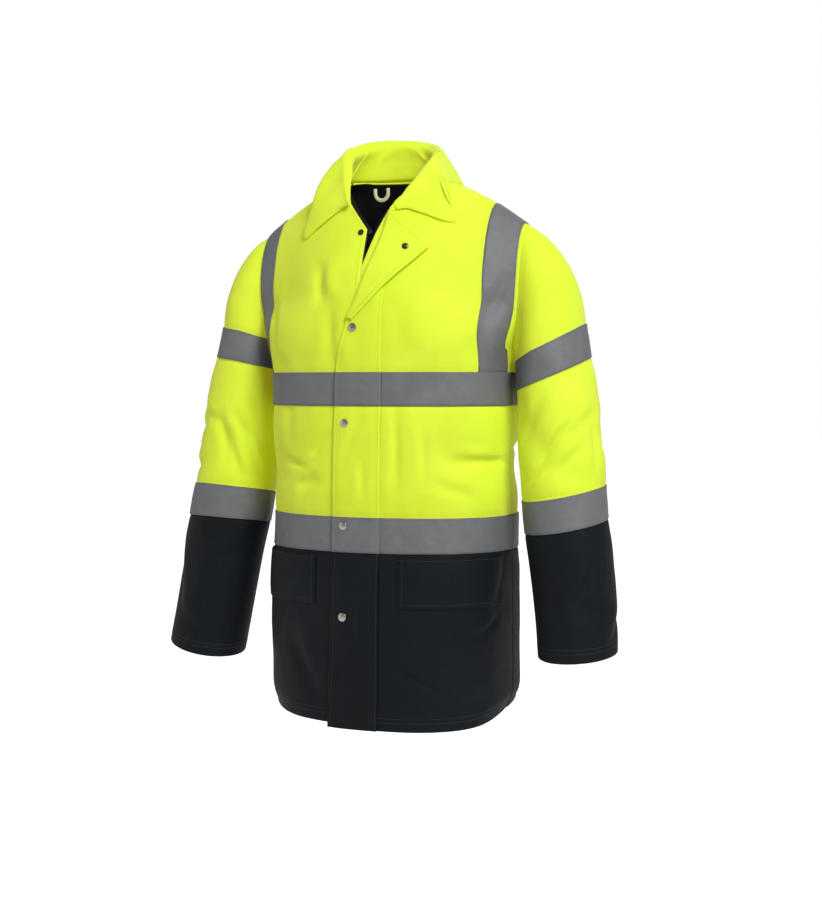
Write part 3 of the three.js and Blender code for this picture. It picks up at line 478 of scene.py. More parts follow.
def sleeveCap(arm, step, turn):
    share = (1 + np.cos(turn)) / 2
    x = arm * armholeX(share)
    start = np.where((np.sin(turn) >= 0)[..., None], chestPoint(x, share, -1), chestPoint(x, share, 1))
    end = sleeveRing(arm, np.full(turn.shape, sleeveRings[arm][0][0]), turn)
    reach = np.linalg.norm(end - start, axis=-1, keepdims=True)
    leave = np.stack([arm * (0.8 + 0.05 * share), -0.35 * np.sin(turn), -(0.75 - 0.25 * share)], -1)
    leave = leave / np.linalg.norm(leave, axis=-1, keepdims=True)
    arrive = np.array([arm * 0.16, -0.02, -1.0])
    arrive = arrive / np.linalg.norm(arrive)
    first, second = start + leave * reach * 0.36, end - arrive * reach * 0.36
    t = np.maximum(step, 0)[..., None]
    inside = np.stack([0.9 * arm + 0 * share, 0 * share, 0.4 - 0.8 * share], -1)
    start = start + inside * np.minimum(step, 0)[..., None]  # the seam allowance, inside the body
    return ((1 - t) ** 3 * start + 3 * (1 - t) ** 2 * t * first
            + 3 * (1 - t) * t**2 * second + t**3 * end)


def sleeveSheet(arm, part):
    table = sleeveRings[arm]
    turns = np.linspace(0, 2 * math.pi, grain["roundSleeve"] + 1)[:-1]
    stops = {"upper": [0, 1, 5, 6], "lower": [6, 10]}[part]
    zRows = edgedSteps([table[i][0] for i in stops], grain["row"])
    points = sleeveRing(arm, zRows[:, None] + 0 * turns, turns + 0 * zRows[:, None])
    across = np.degrees(turns)[None, :] * 1.1 + 0 * zRows[:, None]
    across = np.where(across > 198, across - 396, across)
    height = zRows[:, None] + 0 * turns
    if part == "upper":
        steps = np.concatenate([[-2.6], np.linspace(0, 1, grain["sleeveCap"])[:-1]])
        cap = sleeveCap(arm, steps[:, None] + 0 * turns, turns + 0 * steps[:, None])
        capLength = np.linalg.norm(cap[0] - cap[-1], axis=-1)
        capHeight = table[0][0] + (1 - np.maximum(steps, 0)[:, None]) * capLength[None, :]
        points = np.concatenate([cap, points])
        height = np.concatenate([capHeight, height])
        across = np.concatenate([np.repeat(across[:1], len(steps), 0), across])
    normals = gridNormals(points, closed=True, flip=arm < 0)
    seams = [table[i][0] for i in (0, 1, 5, 6)]
    gap, relief = seamPull(height, seams)
    onTape = ((height <= seams[0]) & (height >= seams[1])) | ((height <= seams[2]) & (height >= seams[3]))
    relief = np.where(onTape, -0.7 + 0.2 * smoothStep(gap, 2, 25), relief)
    wave = softNoise(across, height * 0.12, padding["gatherPitch"], 41) * padding["gather"]
    relief = relief + wave * np.exp(-gap / 16) * np.where(onTape, 0.5, 1)
    relief = relief + softNoise(across, height, 70, 31 + arm) * padding["uneven"]
    name = "sleeveRight" if arm < 0 else "sleeveLeft"
    relief = relief + np.where(onTape, 0.45, 1) * creaseDepth(creases[name], across, height)
    if part == "upper":
        capEdge = np.linalg.norm(points - points[:1], axis=-1)
        relief = relief * smoothStep(capEdge, 0, 26)
    inward = smoothStep(-np.cos(turns), 0.25, 0.8)[None, :]  # no room towards the body
    relief = relief * (1 - inward) + np.minimum(relief, 0.2) * inward
    return {"base": points, "normals": normals, "relief": relief, "across": across,
            "outer": points + normals * relief[..., None], "flip": arm < 0, "closed": True}


def splinePoints(points, steps):
    # centripetal spline through a short list of points
    points = np.asarray(points, float)
    out = []
    for step in steps:
        at = (len(points) - 1) * step
        i = min(int(at), len(points) - 2)
        w = at - i
        p1, p2 = points[i], points[i + 1]
        p0 = points[i - 1] if i > 0 else 2 * p1 - p2
        p3 = points[i + 2] if i + 2 < len(points) else 2 * p2 - p1
        d0, d1, d2 = (max(np.sum((b - a) ** 2) ** 0.25, 1e-4) for a, b in ((p0, p1), (p1, p2), (p2, p3)))
        m1 = ((p1 - p0) / d0 - (p2 - p0) / (d0 + d1) + (p2 - p1) / d1) * d1
        m2 = ((p2 - p1) / d1 - (p3 - p1) / (d1 + d2) + (p3 - p2) / d2) * d1
        out.append((2 * w**3 - 3 * w**2 + 1) * p1 + (w**3 - 2 * w**2 + w) * m1
                   + (3 * w**2 - 2 * w**3) * p2 + (w**3 - w**2) * m2)
    return np.array(out)


collar = {
    # round the neck, top of the roll x y z, radius, bulge, lower edge x z, lift
    -1: [(0.47, 38, -93, -29, 5, 1, 47, -43, 8), (0.6, 48, -80, -9, 8, 6, 88, -68, 7),
         (0.68, 54, -71, 6, 10, 8, 112, -84, 6), (0.74, 58, -63, 16, 11, 10, 117, -72, 6),
         (0.8, 62, -54, 26, 12, 11, 115, -58, 6), (0.92, 72, -29, 57, 13, 9, 111, -32, 6),
         (1.04, 71, 4, 69, 13, 4, 110, 2, 6), (1.3, 60, 34, 80, 12, 3, 97, -8, 7),
         (1.6, 38, 54, 87, 11, 5, 60, -20, 7), (2, 0, 61, 90, 11, 5, 0, -18, 7)],
    1: [(0.47, 38, -93, -29, 5, 1, 47, -43, 8), (0.6, 48, -80, -9, 8, 6, 92, -58, 7),
        (0.68, 54, -71, 6, 10, 8, 119, -66, 6), (0.74, 58, -63, 16, 11, 10, 122, -56, 6),
        (0.8, 62, -54, 26, 12, 11, 117, -45, 6), (0.92, 72, -29, 57, 13, 8, 106, -28, 6),
        (1.04, 70, 4, 69, 13, 3, 98, 2, 6), (1.3, 58, 34, 80, 12, 3, 85, -8, 7),
        (1.6, 37, 54, 87, 11, 5, 56, -20, 7), (2, 0, 61, 90, 11, 5, 0, -18, 7)],
    "lean": 0.12, "footRise": 3.6, "thick": 3.6, "puff": 4.6, "stitchIn": 7,
    # share round from the right front end, share up and over, run, width, tilt, depth
    "creases": [(0.86, 0.62, 0.05, 0.05, 60, 2.6), (0.8, 0.7, 0.06, 0.04, 20, 2.2),
                (0.7, 0.66, 0.05, 0.05, -50, 1.8), (0.9, 0.8, 0.05, 0.04, -20, 2.2),
                (0.16, 0.72, 0.05, 0.05, 40, 2), (0.24, 0.62, 0.05, 0.05, -30, 2),
                (0.5, 0.3, 0.08, 0.05, 0, 1.4), (0.38, 0.24, 0.06, 0.05, 30, 1.6),
                (0.6, 0.2, 0.06, 0.05, -30, 1.6), (0.45, 0.75, 0.08, 0.06, 10, 1.6),
                (0.57, 0.78, 0.08, 0.06, -12, 1.6)],
    "length": 420, "width": 150,
}


def collarSection(row, sign, steps):
    neck, rollX, rollY, rollZ, radius, bulge, edgeX, edgeZ, lift = row
    side = 1 if neck > 1 else -1
    x, share = neckline(neck)
    foot = chestPoint(x, share, side) + [0, 0, collar["footRise"]]
    roll = np.array([rollX, rollY, rollZ - sign * collar["lean"] * rollX])
    edgeShare = np.minimum(0.999, chestShare(edgeX, edgeZ))
    edgeSide = 1 if neck > 1.1 else -1
    edge = chestPoint(edgeX, edgeShare, edgeSide)
    outward = np.array([edge[0] - roll[0], edge[1] - roll[1], 0])
    outward = outward / np.linalg.norm(outward)
    edge = edge + outward * lift + [0, 0, lift]
    inner = roll - outward * radius - [0, 0, radius]
    outer = roll + outward * radius - [0, 0, radius]
    middle = outer + (edge - outer) * 0.48 + outward * bulge + [0, 0, bulge * 0.6]
    line = splinePoints([foot, foot + (inner - foot) * 0.55, inner, roll, outer, middle, edge], steps)
    return line * [sign, 1, 1]


def collarSheet():
    steps = np.concatenate([[0, 0.02], np.linspace(0.05, 0.96, 40), [0.985, 1]])
    half = {}
    for sign in (-1, 1):
        table = np.array(collar[sign], float)
        necks = np.linspace(table[0, 0], 2, 72)
        necks = np.insert(necks, 1, necks[0] + 0.011)
        columns = [smoothCurve(table[:, 0], table[:, k], necks) for k in range(1, 9)]
        half[sign] = [collarSection((neck, *(column[i] for column in columns)), sign, steps)
                      for i, neck in enumerate(necks)]
    right, left = half[-1], half[1][::-1]
    points = np.array(right + left[1:])
    points = smoothRows(points, 2)
    normals = gridNormals(points)
    aroundNeck = np.linspace(0, 1, len(points))[:, None] + 0 * steps
    over = steps[None, :] + 0 * aroundNeck
    across, up = aroundNeck * collar["length"], over * collar["width"]
    edge = np.linalg.norm(points - points[:, -1:], axis=-1)
    rightEnd = np.linalg.norm(points - points[:1], axis=-1)
    leftEnd = np.linalg.norm(points - points[-1:], axis=-1)
    rim = np.minimum(edge, np.minimum(rightEnd, leftEnd))
    relief = collar["puff"] * smoothStep(rim, 1, 26) * smoothStep(over, 0.3, 0.52)
    relief = relief - 0.9 * bump(rim, collar["stitchIn"], 2.4) * smoothStep(over, 0.3, 0.5)
    relief = relief + softNoise(across, up, 42, 61)
    relief = relief + softNoise(across, up, 15, 63) * 0.45
    long, wide = collar["length"], collar["width"]
    real = [(s * long, o * wide, r * long, w * wide, t, d) for s, o, r, w, t, d in collar["creases"]]
    relief = relief + creaseDepth(real, across, up)
    relief = relief * smoothStep(over, 0.02, 0.12)
    return {"base": points, "normals": normals, "relief": relief, "across": across,
            "outer": points + normals * (relief + collar["thick"])[..., None],
            "thick": collar["thick"] + np.maximum(relief, -1.5) * 0.6, "flip": False, "closed": False}


def smoothRows(points, times):
    for _ in range(times):
        points = points.copy()
        points[2:-2] = points[2:-2] * 0.5 + (points[1:-3] + points[3:-1]) * 0.25
    return points


flap = {
    "lift": 2.6, "layer": 4.6, "seamX": 37.5, "thick": 1.6,
    "edge": [(-805, -40), (-400, -35), (-275, -33), (-232, -24), (-200, -14), (-173, -1), (-136, 11),
             (-82, 28), (-30, 34)],
    # share, fold z, free edge x z, seam z
    "turn": [(0, -200, -6, -203, -200), (0.25, -160, 20, -177, -165), (0.5, -120, 46, -148, -130),
             (0.75, -81, 72, -123, -94), (1, -42, 97, -98, -58)],
    "puff": 0.9, "stitchIn": 6,
    "middle": (30, 8),  # a row and column well inside the turned-back top
}


def onFront(x, z, height):
    # a point that stands on the creased front
    point = frontPoint(x, z)
    relief = bodyRelief(-1, np.asarray(x, float) * 1.01, point[..., 2])
    return point + frontNormal(x, z) * (height + relief)[..., None]


def flapEdgeX(z):
    return smoothCurve([row[0] for row in flap["edge"]], [row[1] for row in flap["edge"]], z)


def flapSheet(part):
    share = edgedSteps([0, 43, 74], 3.6) / 74
    height = flap["lift"] * np.interp(share, [0, 0.3, 0.65, 1], [1, 1, 0.85, 0.35])
    if part == "lower":
        z = edgedSteps([-805, level["waistBottom"]], grain["row"])
    else:
        stops = [level["waistBottom"], level["waistTop"], level["chestBottom"], level["chestTop"], -200]
        z = edgedSteps(stops, grain["row"])
    foldX, foldZ, seamZ, start = flapEdgeX(z), z, z, 0 * z
    if part == "upper":
        turn = np.linspace(0.02, 1, 36)
        table = np.array(flap["turn"], float)
        foldTurn = smoothCurve(table[:, 0], table[:, 1], turn)
        begin = 4.5 / (flap["seamX"] - flapEdgeX(foldTurn))
        foldX, foldZ = np.append(foldX, flapEdgeX(foldTurn)), np.append(foldZ, foldTurn)
        seamZ = np.append(seamZ, smoothCurve(table[:, 0], table[:, 4], turn))
        start = np.append(start, begin * smoothStep(turn, 0, 0.12))
    along = start[:, None] + (1 - start[:, None]) * share[None, :]
    x = foldX[:, None] + (flap["seamX"] - foldX[:, None]) * along
    rowZ = foldZ[:, None] + (seamZ - foldZ)[:, None] * np.minimum(1, along * 1.5)
    edge = (x - foldX[:, None])
    puff = flap["puff"] * smoothStep(edge, 1, 14) * (1 - smoothStep(along, 0.8, 1))
    puff = puff - 0.6 * bump(edge, flap["stitchIn"], 2)
    outer = onFront(x, rowZ, height[None, :] + puff + flap["thick"])
    return {"base": frontPoint(x, rowZ), "normals": frontNormal(x, rowZ), "relief": puff, "across": x,
            "outer": outer, "flip": False, "closed": False, "thick": flap["thick"] + puff * 0.4}


def lapelSheet():
    table = np.array(flap["turn"], float)
    turn = np.insert(np.linspace(0, 1, 60), [1, 59], [0.008, 0.992])
    foldZ, edgeX, edgeZ = (smoothCurve(table[:, 0], table[:, k], turn) for k in (1, 2, 3))
    foldX = flapEdgeX(foldZ)
    rows = []
    top = flap["lift"] + flap["layer"]
    for fx, fz, ex, ez, t in zip(foldX, foldZ, edgeX, edgeZ, turn):
        away = np.array([ex - fx, ez - fz])
        width = max(np.linalg.norm(away), 7)
        away = away / np.linalg.norm(away)
        share = edgedSteps([1, 2 / width], 3.6 / width, 1.3 / width)
        share = np.interp(np.linspace(0, 1, 26), np.linspace(0, 1, len(share)), share)
        spots = np.stack([fx + away[0] * width * share, fz + away[1] * width * share], -1)
        swell = 1.3 * np.sin(math.pi * np.clip(1 - share, 0, 1)) ** 0.8 * min(1, width / 60)
        swell = swell - 0.5 * bump((1 - share) * width, flap["stitchIn"], 2)
        turned = onFront(spots[:, 0], spots[:, 1], top + swell)
        outmost = onFront(np.array(fx - 1.2), np.array(fz), np.array(top - flap["layer"] / 2))
        under = onFront(np.array(fx + 3), np.array(fz - 1), np.array(flap["lift"]))
        bend = splinePoints([turned[-2], turned[-1], outmost, under], np.linspace(1 / 3, 1, 9))
        rows.append(np.concatenate([turned[:-1], bend]))
    points = np.array(rows)
    normals = gridNormals(points, flip=False)
    if normals[(*flap["middle"], 1)] > 0:
        normals = -normals
    points = points + normals * flap["thick"]
    return {"base": points, "normals": normals, "relief": points[..., 0] * 0, "across": points[..., 0],
            "outer": points, "flip": None, "closed": False, "thick": flap["thick"]}


def gridFaces(rows, columns, closed, base, flip):
    r = np.arange(rows - 1)[:, None]
    c = np.arange(columns if closed else columns - 1)[None, :]
    n = (c + 1) % columns
    quads = np.stack([base + r * columns + c, base + r * columns + n,
                      base + (r + 1) * columns + n, base + (r + 1) * columns + c], -1).reshape(-1, 4)
    return quads[:, ::-1] if flip else quads


def ribbonFaces(a, b, flip):
    quads = np.stack([a[:-1], a[1:], b[1:], b[:-1]], -1)
    return quads[:, ::-1] if flip else quads


def sheetFlip(sheet):
    if sheet["flip"] is not None:
        return sheet["flip"]
    points = sheet["outer"]
    row, column = flap["middle"]
    here = points[row, column]
    face = np.cross(points[row, column + 1] - here, points[row + 1, column] - here)
    return bool(face @ sheet["normals"][row, column] < 0)


def makeWall(name, sheets, thick, material, merge=False):
    # a closed wall: an outer face, an inner face and a rounded rim between them
    verts, quads, uvs = [], [], []
    count = 0
    for sheet in sheets:
        outer, normal = sheet["outer"].copy(), sheet["normals"]
        rows, columns = outer.shape[:2]
        wall = np.broadcast_to(np.asarray(sheet.get("thick", thick), float), (rows, columns)) + 0
        inner = outer - normal * wall[..., None]
        closed, flip = sheet["closed"], sheetFlip(sheet)
        edges = [(slice(0, 1), slice(None)), (slice(-1, None), slice(None))]
        if not closed:
            edges += [(slice(None), slice(0, 1)), (slice(None), slice(-1, None))]
        kept = sheet.get("joined", 0)
        for e, edge in enumerate(edges):
            pull = normal[edge] * wall[edge][..., None] * 0.3
            if e == 2 and kept:
                pull[:kept] = 0
            outer[edge] = outer[edge] - pull
            inner[edge] = inner[edge] + pull
        lengths = np.linalg.norm(np.diff(outer, axis=0), axis=-1)
        v = np.concatenate([np.zeros((1, columns)), np.cumsum(lengths, 0)])
        if closed:  # measured up from the cuff
            v = v[-1:] - v
        uv = np.stack([sheet["across"], v], -1).reshape(-1, 2) / 1000
        size = rows * columns
        verts += [outer.reshape(-1, 3), inner.reshape(-1, 3)]
        uvs += [uv, uv]
        quads += [gridFaces(rows, columns, closed, count, flip),
                  gridFaces(rows, columns, closed, count + size, not flip)]
        index = count + np.arange(size).reshape(rows, columns)
        ring = (lambda line: np.append(line, line[0])) if closed else (lambda line: line)
        quads.append(ribbonFaces(ring(index[0]), ring(index[0] + size), not flip))
        quads.append(ribbonFaces(ring(index[-1]), ring(index[-1] + size), flip))
        if not closed:
            quads.append(ribbonFaces(index[max(kept - 1, 0):, 0], index[max(kept - 1, 0):, 0] + size, flip))
            quads.append(ribbonFaces(index[:, -1], index[:, -1] + size, not flip))
        count += 2 * size
    verts, quads, uvs = np.concatenate(verts) / 1000, np.concatenate(quads), np.concatenate(uvs)
    mesh = bpy.data.meshes.new(name)
    mesh.from_pydata(verts.tolist(), [], quads.tolist())
    layer = mesh.uv_layers.new(name="clothMap")
    loops = np.zeros(len(mesh.loops), np.int32)
    mesh.loops.foreach_get("vertex_index", loops)
    layer.data.foreach_set("uv", uvs[loops].ravel())
    mesh.polygons.foreach_set("use_smooth", np.ones(len(mesh.polygons), bool))
    if merge:
        work = bmesh.new()
        work.from_mesh(mesh)
        bmesh.ops.remove_doubles(work, verts=work.verts, dist=0.00002)
        work.to_mesh(mesh)
        work.free()
    mesh.validate()
    mesh.update()
    piece = bpy.data.objects.new(name, mesh)
    scene.collection.objects.link(piece)
    mesh.materials.append(material)
    return piece


def dress(piece, slot, *nodes):
    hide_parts(*nodes)
    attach(piece, "root")


def declareSheet(sheets):
    # the flat cut is measured on the smooth surface, before any crease
    width = length = area = 0
    for sheet in sheets:
        points = sheet["base"]
        if sheet["closed"]:
            points = np.concatenate([points, points[:, :1]], 1)
        acrossRows = np.linalg.norm(np.diff(points, axis=1), axis=-1).sum(1)
        alongColumns = np.linalg.norm(np.diff(points, axis=0), axis=-1).sum(0)
        width += acrossRows.max()
        length = max(length, alongColumns.max())
        a = points[:-1, :-1] - points[1:, 1:]
        b = points[1:, :-1] - points[:-1, 1:]
        area += 0.5 * np.linalg.norm(np.cross(a, b), axis=-1).sum()


# materials
def toLinear(hexColour):
    parts = [int(hexColour[i:i + 2], 16) / 255 for i in (1, 3, 5)]
    return [p / 12.92 if p <= 0.04045 else ((p + 0.055) / 1.055) ** 2.4 for p in parts] + [1]


def addNode(tree, kind, settings=None, inputs=None):
    # a node with its settings; an input is a value, or a socket to link from
    node = tree.nodes.new(kind)
    for key, value in (settings or {}).items():
        setattr(node, key, value)
    for key, value in (inputs or {}).items():
        if isinstance(value, bpy.types.NodeSocket):
            tree.links.new(value, node.inputs[key])
        else:
            node.inputs[key].default_value = value
    return node


def newMaterial(name):
    material = bpy.data.materials.new(name)
    material.use_nodes = True
    tree = material.node_tree
    tree.nodes.clear()
    shader = addNode(tree, "ShaderNodeBsdfPrincipled")
    output = addNode(tree, "ShaderNodeOutputMaterial", inputs={"Surface": shader.outputs[0]})
    output.location = (300, 0)
    return material, tree, shader


waveBand = 0.31416  # a wave texture at scale 1 has a band each 0.31416 m


def wovenCloth(name, look):
    # woven polyester: matt, with a slight sheen, a fine weave, soft crinkles and a little uneven colour
    material, tree, shader = newMaterial(name)
    uv = addNode(tree, "ShaderNodeUVMap", {"uv_map": "clothMap"}).outputs[0]
    place = addNode(tree, "ShaderNodeTexCoord").outputs["Object"]
    warp = addNode(tree, "ShaderNodeTexWave", {"bands_direction": "X"},
                   {"Vector": uv, "Scale": waveBand / look["thread"], "Distortion": 0.0}).outputs["Fac"]
    weft = addNode(tree, "ShaderNodeTexWave", {"bands_direction": "Y"},
                   {"Vector": uv, "Scale": waveBand / look["thread"], "Distortion": 0.0}).outputs["Fac"]
    weave = addNode(tree, "ShaderNodeMath", {"operation": "MULTIPLY"}, {0: warp, 1: weft}).outputs[0]
    crinkle = addNode(tree, "ShaderNodeTexNoise", {},
                      {"Vector": place, "Scale": 1 / look["crinkle"], "Detail": 3.0, "Roughness": 0.55,
                       "Distortion": 0.6}).outputs["Fac"]
    patch = addNode(tree, "ShaderNodeTexNoise", {},
                    {"Vector": place, "Scale": 1 / look["patch"], "Detail": 2.0}).outputs["Fac"]
    ramp = addNode(tree, "ShaderNodeMapRange", {},
                   {"Value": patch, "From Min": 0.32, "From Max": 0.68}).outputs[0]
    tint = addNode(tree, "ShaderNodeMix", {"data_type": "RGBA"},
                   {0: ramp, 6: toLinear(look["deep"]), 7: toLinear(look["light"])})
    fine = addNode(tree, "ShaderNodeMapRange", {},
                   {"Value": weave, "To Min": 0.94, "To Max": 1.03}).outputs[0]
    shade = addNode(tree, "ShaderNodeVectorMath", {"operation": "SCALE"},
                    {0: tint.outputs[2], "Scale": fine}).outputs[0]
    tree.links.new(shade, shader.inputs["Base Color"])
    rough = addNode(tree, "ShaderNodeMapRange", {},
                    {"Value": crinkle, "To Min": look["rough"] - 0.08,
                     "To Max": look["rough"] + 0.08}).outputs[0]
    tree.links.new(rough, shader.inputs["Roughness"])
    low = addNode(tree, "ShaderNodeBump", {},
                  {"Height": crinkle, "Strength": look["crinkleDepth"], "Distance": 0.004})
    high = addNode(tree, "ShaderNodeBump", {},
                   {"Height": weave, "Strength": 0.35, "Distance": 0.0003, "Normal": low.outputs[0]})
    tree.links.new(high.outputs[0], shader.inputs["Normal"])
    shader.inputs["Specular IOR Level"].default_value = look["specular"]
    shader.inputs["Sheen Weight"].default_value = look["sheen"]
    shader.inputs["Sheen Roughness"].default_value = 0.4
    # painted light: the cloth glows a little in warm yellow-orange, which lifts its shaded parts and keeps
    # that shade warm
    shader.inputs["Emission Color"].default_value = (1.0, 0.68, 0.0, 1)
    shader.inputs["Emission Strength"].default_value = look.get("paintedWarmGlow", 0)
    return material


def beadTape(name, look):
    # glass beads on a grey backing: satin, faintly metallic, with a very fine sparkle and soft scuffs
    material, tree, shader = newMaterial(name)
    place = addNode(tree, "ShaderNodeTexCoord").outputs["Object"]
    beads = addNode(tree, "ShaderNodeTexVoronoi", {},
                    {"Vector": place, "Scale": 1 / look["bead"]}).outputs["Distance"]
    scuff = addNode(tree, "ShaderNodeTexNoise", {},
                    {"Vector": place, "Scale": 1 / look["scuff"], "Detail": 4.0,
                     "Distortion": 1.2}).outputs["Fac"]
    tint = addNode(tree, "ShaderNodeMix", {"data_type": "RGBA"},
                   {0: scuff, 6: toLinear(look["deep"]), 7: toLinear(look["light"])})
    tree.links.new(tint.outputs[2], shader.inputs["Base Color"])
    rough = addNode(tree, "ShaderNodeMapRange", {},
                    {"Value": scuff, "To Min": look["rough"] - 0.1,
                     "To Max": look["rough"] + 0.12}).outputs[0]
    tree.links.new(rough, shader.inputs["Roughness"])
    wave = addNode(tree, "ShaderNodeBump", {}, {"Height": scuff, "Strength": 0.35, "Distance": 0.003})
    grit = addNode(tree, "ShaderNodeBump", {},
                   {"Height": beads, "Strength": 0.2, "Distance": 0.0003, "Normal": wave.outputs[0]})
    tree.links.new(grit.outputs[0], shader.inputs["Normal"])
    shader.inputs["Metallic"].default_value = 0.1
    shader.inputs["Specular IOR Level"].default_value = 0.35
    return material


clothLooks = {  # thread, crinkle and patch sizes in metres; the thread is drawn twice its real 0.45 mm
    # the yellow cloth's last value is a painted glow that lifts and warms its shade
    "yellow": {"light": "#cfec38", "deep": "#c6e32e", "thread": 0.0009, "crinkle": 0.03, "patch": 0.09,
               "rough": 0.72, "crinkleDepth": 0.2, "specular": 0.25, "sheen": 0.14, "paintedWarmGlow": 0.13},
    "dark": {"light": "#0b1116", "deep": "#070c10", "thread": 0.0009, "crinkle": 0.028, "patch": 0.11,
             "rough": 0.7, "crinkleDepth": 0.25, "specular": 0.13, "sheen": 0.01},
    "lining": {"light": "#0d0e15", "deep": "#08090d", "thread": 0.001, "crinkle": 0.02, "patch": 0.08,
               "rough": 0.5, "crinkleDepth": 0.15, "specular": 0.2, "sheen": 0.0},
    "loop": {"light": "#e0dfc0", "deep": "#cfcfa9", "thread": 0.0018, "crinkle": 0.01, "patch": 0.02,
             "rough": 0.8, "crinkleDepth": 0.05, "specular": 0.2, "sheen": 0.1},
}
yellowCloth = wovenCloth("fluorescentPolyesterOxford", clothLooks["yellow"])
darkCloth = wovenCloth("coatedDarkPolyesterOxford", clothLooks["dark"])
liningCloth = wovenCloth("wovenTaffetaLining", clothLooks["lining"])
loopTape = wovenCloth("wovenCottonTape", clothLooks["loop"])
tapeFinish = beadTape("glassBeadReflectiveTape", {"light": "#737476", "deep": "#5c5d60", "bead": 0.0009,
                                                  "scuff": 0.035, "rough": 0.6})


def threadFinish(name, light, deep):
    # spun polyester thread: matt with a twist along it
    material, tree, shader = newMaterial(name)
    place = addNode(tree, "ShaderNodeTexCoord").outputs["Object"]
    twist = addNode(tree, "ShaderNodeTexNoise", {}, {"Vector": place, "Scale": 900.0}).outputs["Fac"]
    tint = addNode(tree, "ShaderNodeMix", {"data_type": "RGBA"},
                   {0: twist, 6: toLinear(deep), 7: toLinear(light)})
    tree.links.new(tint.outputs[2], shader.inputs["Base Color"])
    shader.inputs["Roughness"].default_value = 0.7
    shader.inputs["Specular IOR Level"].default_value = 0.25
    return material


yellowThread = threadFinish("yellowPolyesterThread", "#c9dc3a", "#a9bb22")
darkThread = threadFinish("darkPolyesterThread", "#343a40", "#22272c")
greyThread = threadFinish("greyPolyesterThread", "#6c6e70", "#56585a")


def brushedSteel(name, colour):
    # nickel-plated steel, pressed and lightly brushed, so its highlight is broken by fine scratches
    material, tree, shader = newMaterial(name)
    place = addNode(tree, "ShaderNodeTexCoord").outputs["Object"]
    scratch = addNode(tree, "ShaderNodeTexNoise", {},
                      {"Vector": place, "Scale": 700.0, "Detail": 2.0}).outputs["Fac"]
    rough = addNode(tree, "ShaderNodeMapRange", {},
                    {"Value": scratch, "To Min": 0.22, "To Max": 0.4}).outputs[0]
    tree.links.new(rough, shader.inputs["Roughness"])
    shader.inputs["Base Color"].default_value = toLinear(colour)
    shader.inputs["Metallic"].default_value = 1.0
    return material


steel = brushedSteel("brushedNickelSteel", "#8f8d84")
agedBrass = brushedSteel("blackenedBrass", "#4a4736")
print("materials ready")

# shell of the body and sleeves
shellThick = 2.4
lowStops = [-805, level["pocketBottom"], level["pocketTop"], level["waistBottom"]]
highStops = [level["waistBottom"], level["waistTop"], level["chestBottom"], level["chestTop"],
             body["underarm"]]
shell = {}
for panel, sign, tag in (("right", -1, "frontRight"), ("left", 1, "frontLeft"),
                         ("back", -1, "backRight"), ("back", 1, "backLeft")):
    shell[tag + "Upper"] = bodySheet(panel, sign, highStops, True)
    shell[tag + "Lower"] = bodySheet(panel, sign, lowStops, False)
for arm, tag in ((-1, "sleeveRight"), (1, "sleeveLeft")):
    shell[tag + "Upper"] = sleeveSheet(arm, "upper")
    shell[tag + "Lower"] = sleeveSheet(arm, "lower")
for tag in ("backRight", "backLeft"):
    centre = np.abs(shell[tag + "Upper"]["base"][:, 0, 0]) < 0.01
    shell[tag + "Upper"]["joined"] = int(centre.sum())
    shell[tag + "Lower"]["joined"] = len(shell[tag + "Lower"]["base"])

pieces = {}
shellPieces = [
    ("frontRightUpper", ["frontRightUpper"], yellowCloth, "front_right_upper"),
    ("frontRightLower", ["frontRightLower"], darkCloth, "front_right_lower"),
    ("frontLeftUpper", ["frontLeftUpper"], yellowCloth, "front_left_upper"),
    ("frontLeftLower", ["frontLeftLower"], darkCloth, "front_left_lower"),
    ("backUpper", ["backLeftUpper", "backRightUpper"], yellowCloth, "back_upper"),
    ("backLower", ["backLeftLower", "backRightLower"], darkCloth, "back_lower"),
    ("sleeveRightUpper", ["sleeveRightUpper"], yellowCloth, "sleeve_right_upper"),
    ("sleeveRightLower", ["sleeveRightLower"], darkCloth, "sleeve_right_lower"),
    ("sleeveLeftUpper", ["sleeveLeftUpper"], yellowCloth, "sleeve_left_upper"),
    ("sleeveLeftLower", ["sleeveLeftLower"], darkCloth, "sleeve_left_lower"),
]
for name, sheets, material, node in shellPieces:
    group = [shell[key] for key in sheets]
    pieces[name] = makeWall(name, group, shellThick, material, merge=len(group) > 1)
    dress(pieces[name], "hi_vis_cloth" if material == yellowCloth else "dark_cloth", node)
    declareSheet(group)
print("shell made")


# reflective tape lies on the finished cloth, so it is cut from the same rows and columns
tape = {"thick": 0.9, "over": 0.35, "stitchIn": 2.6, "wrinkle": 0.7}


def cutSheet(sheet, rowMask, columnMask=None):
    rows = np.flatnonzero(rowMask)
    rows = slice(rows[0], rows[-1] + 1)
    columns = slice(None)
    if columnMask is not None:
        found = np.flatnonzero(columnMask)
        columns = slice(found[0], found[-1] + 1)
    out = {key: sheet[key][rows, columns] for key in ("base", "normals", "relief", "across", "outer")}
    return {**out, "flip": sheet["flip"], "closed": sheet["closed"]}


def raised(sheet, height, extra=0):
    lift = height + extra
    lift = lift[..., None] if isinstance(lift, np.ndarray) else lift
    return {**sheet, "outer": sheet["outer"] + sheet["normals"] * lift}


def tapeWrinkles(sheet, seed):
    across, z = sheet["across"], sheet["base"][..., 2]
    fold = softNoise(across + z * 0.7, z * 0.25 - across * 0.1, 9, seed)
    patch = smoothStep(softNoise(across, z, 60, seed + 3), -0.1, 0.6)
    return tape["wrinkle"] * fold * patch


tapes = {}
bands = {"chest": (level["chestTop"], level["chestBottom"]),
         "waist": (level["waistTop"], level["waistBottom"])}


def bandRows(sheet, band):
    z = sheet["base"][:, 0, 2]
    high, low = bands[band]
    return (z <= high + 0.01) & (z >= low - 0.01)


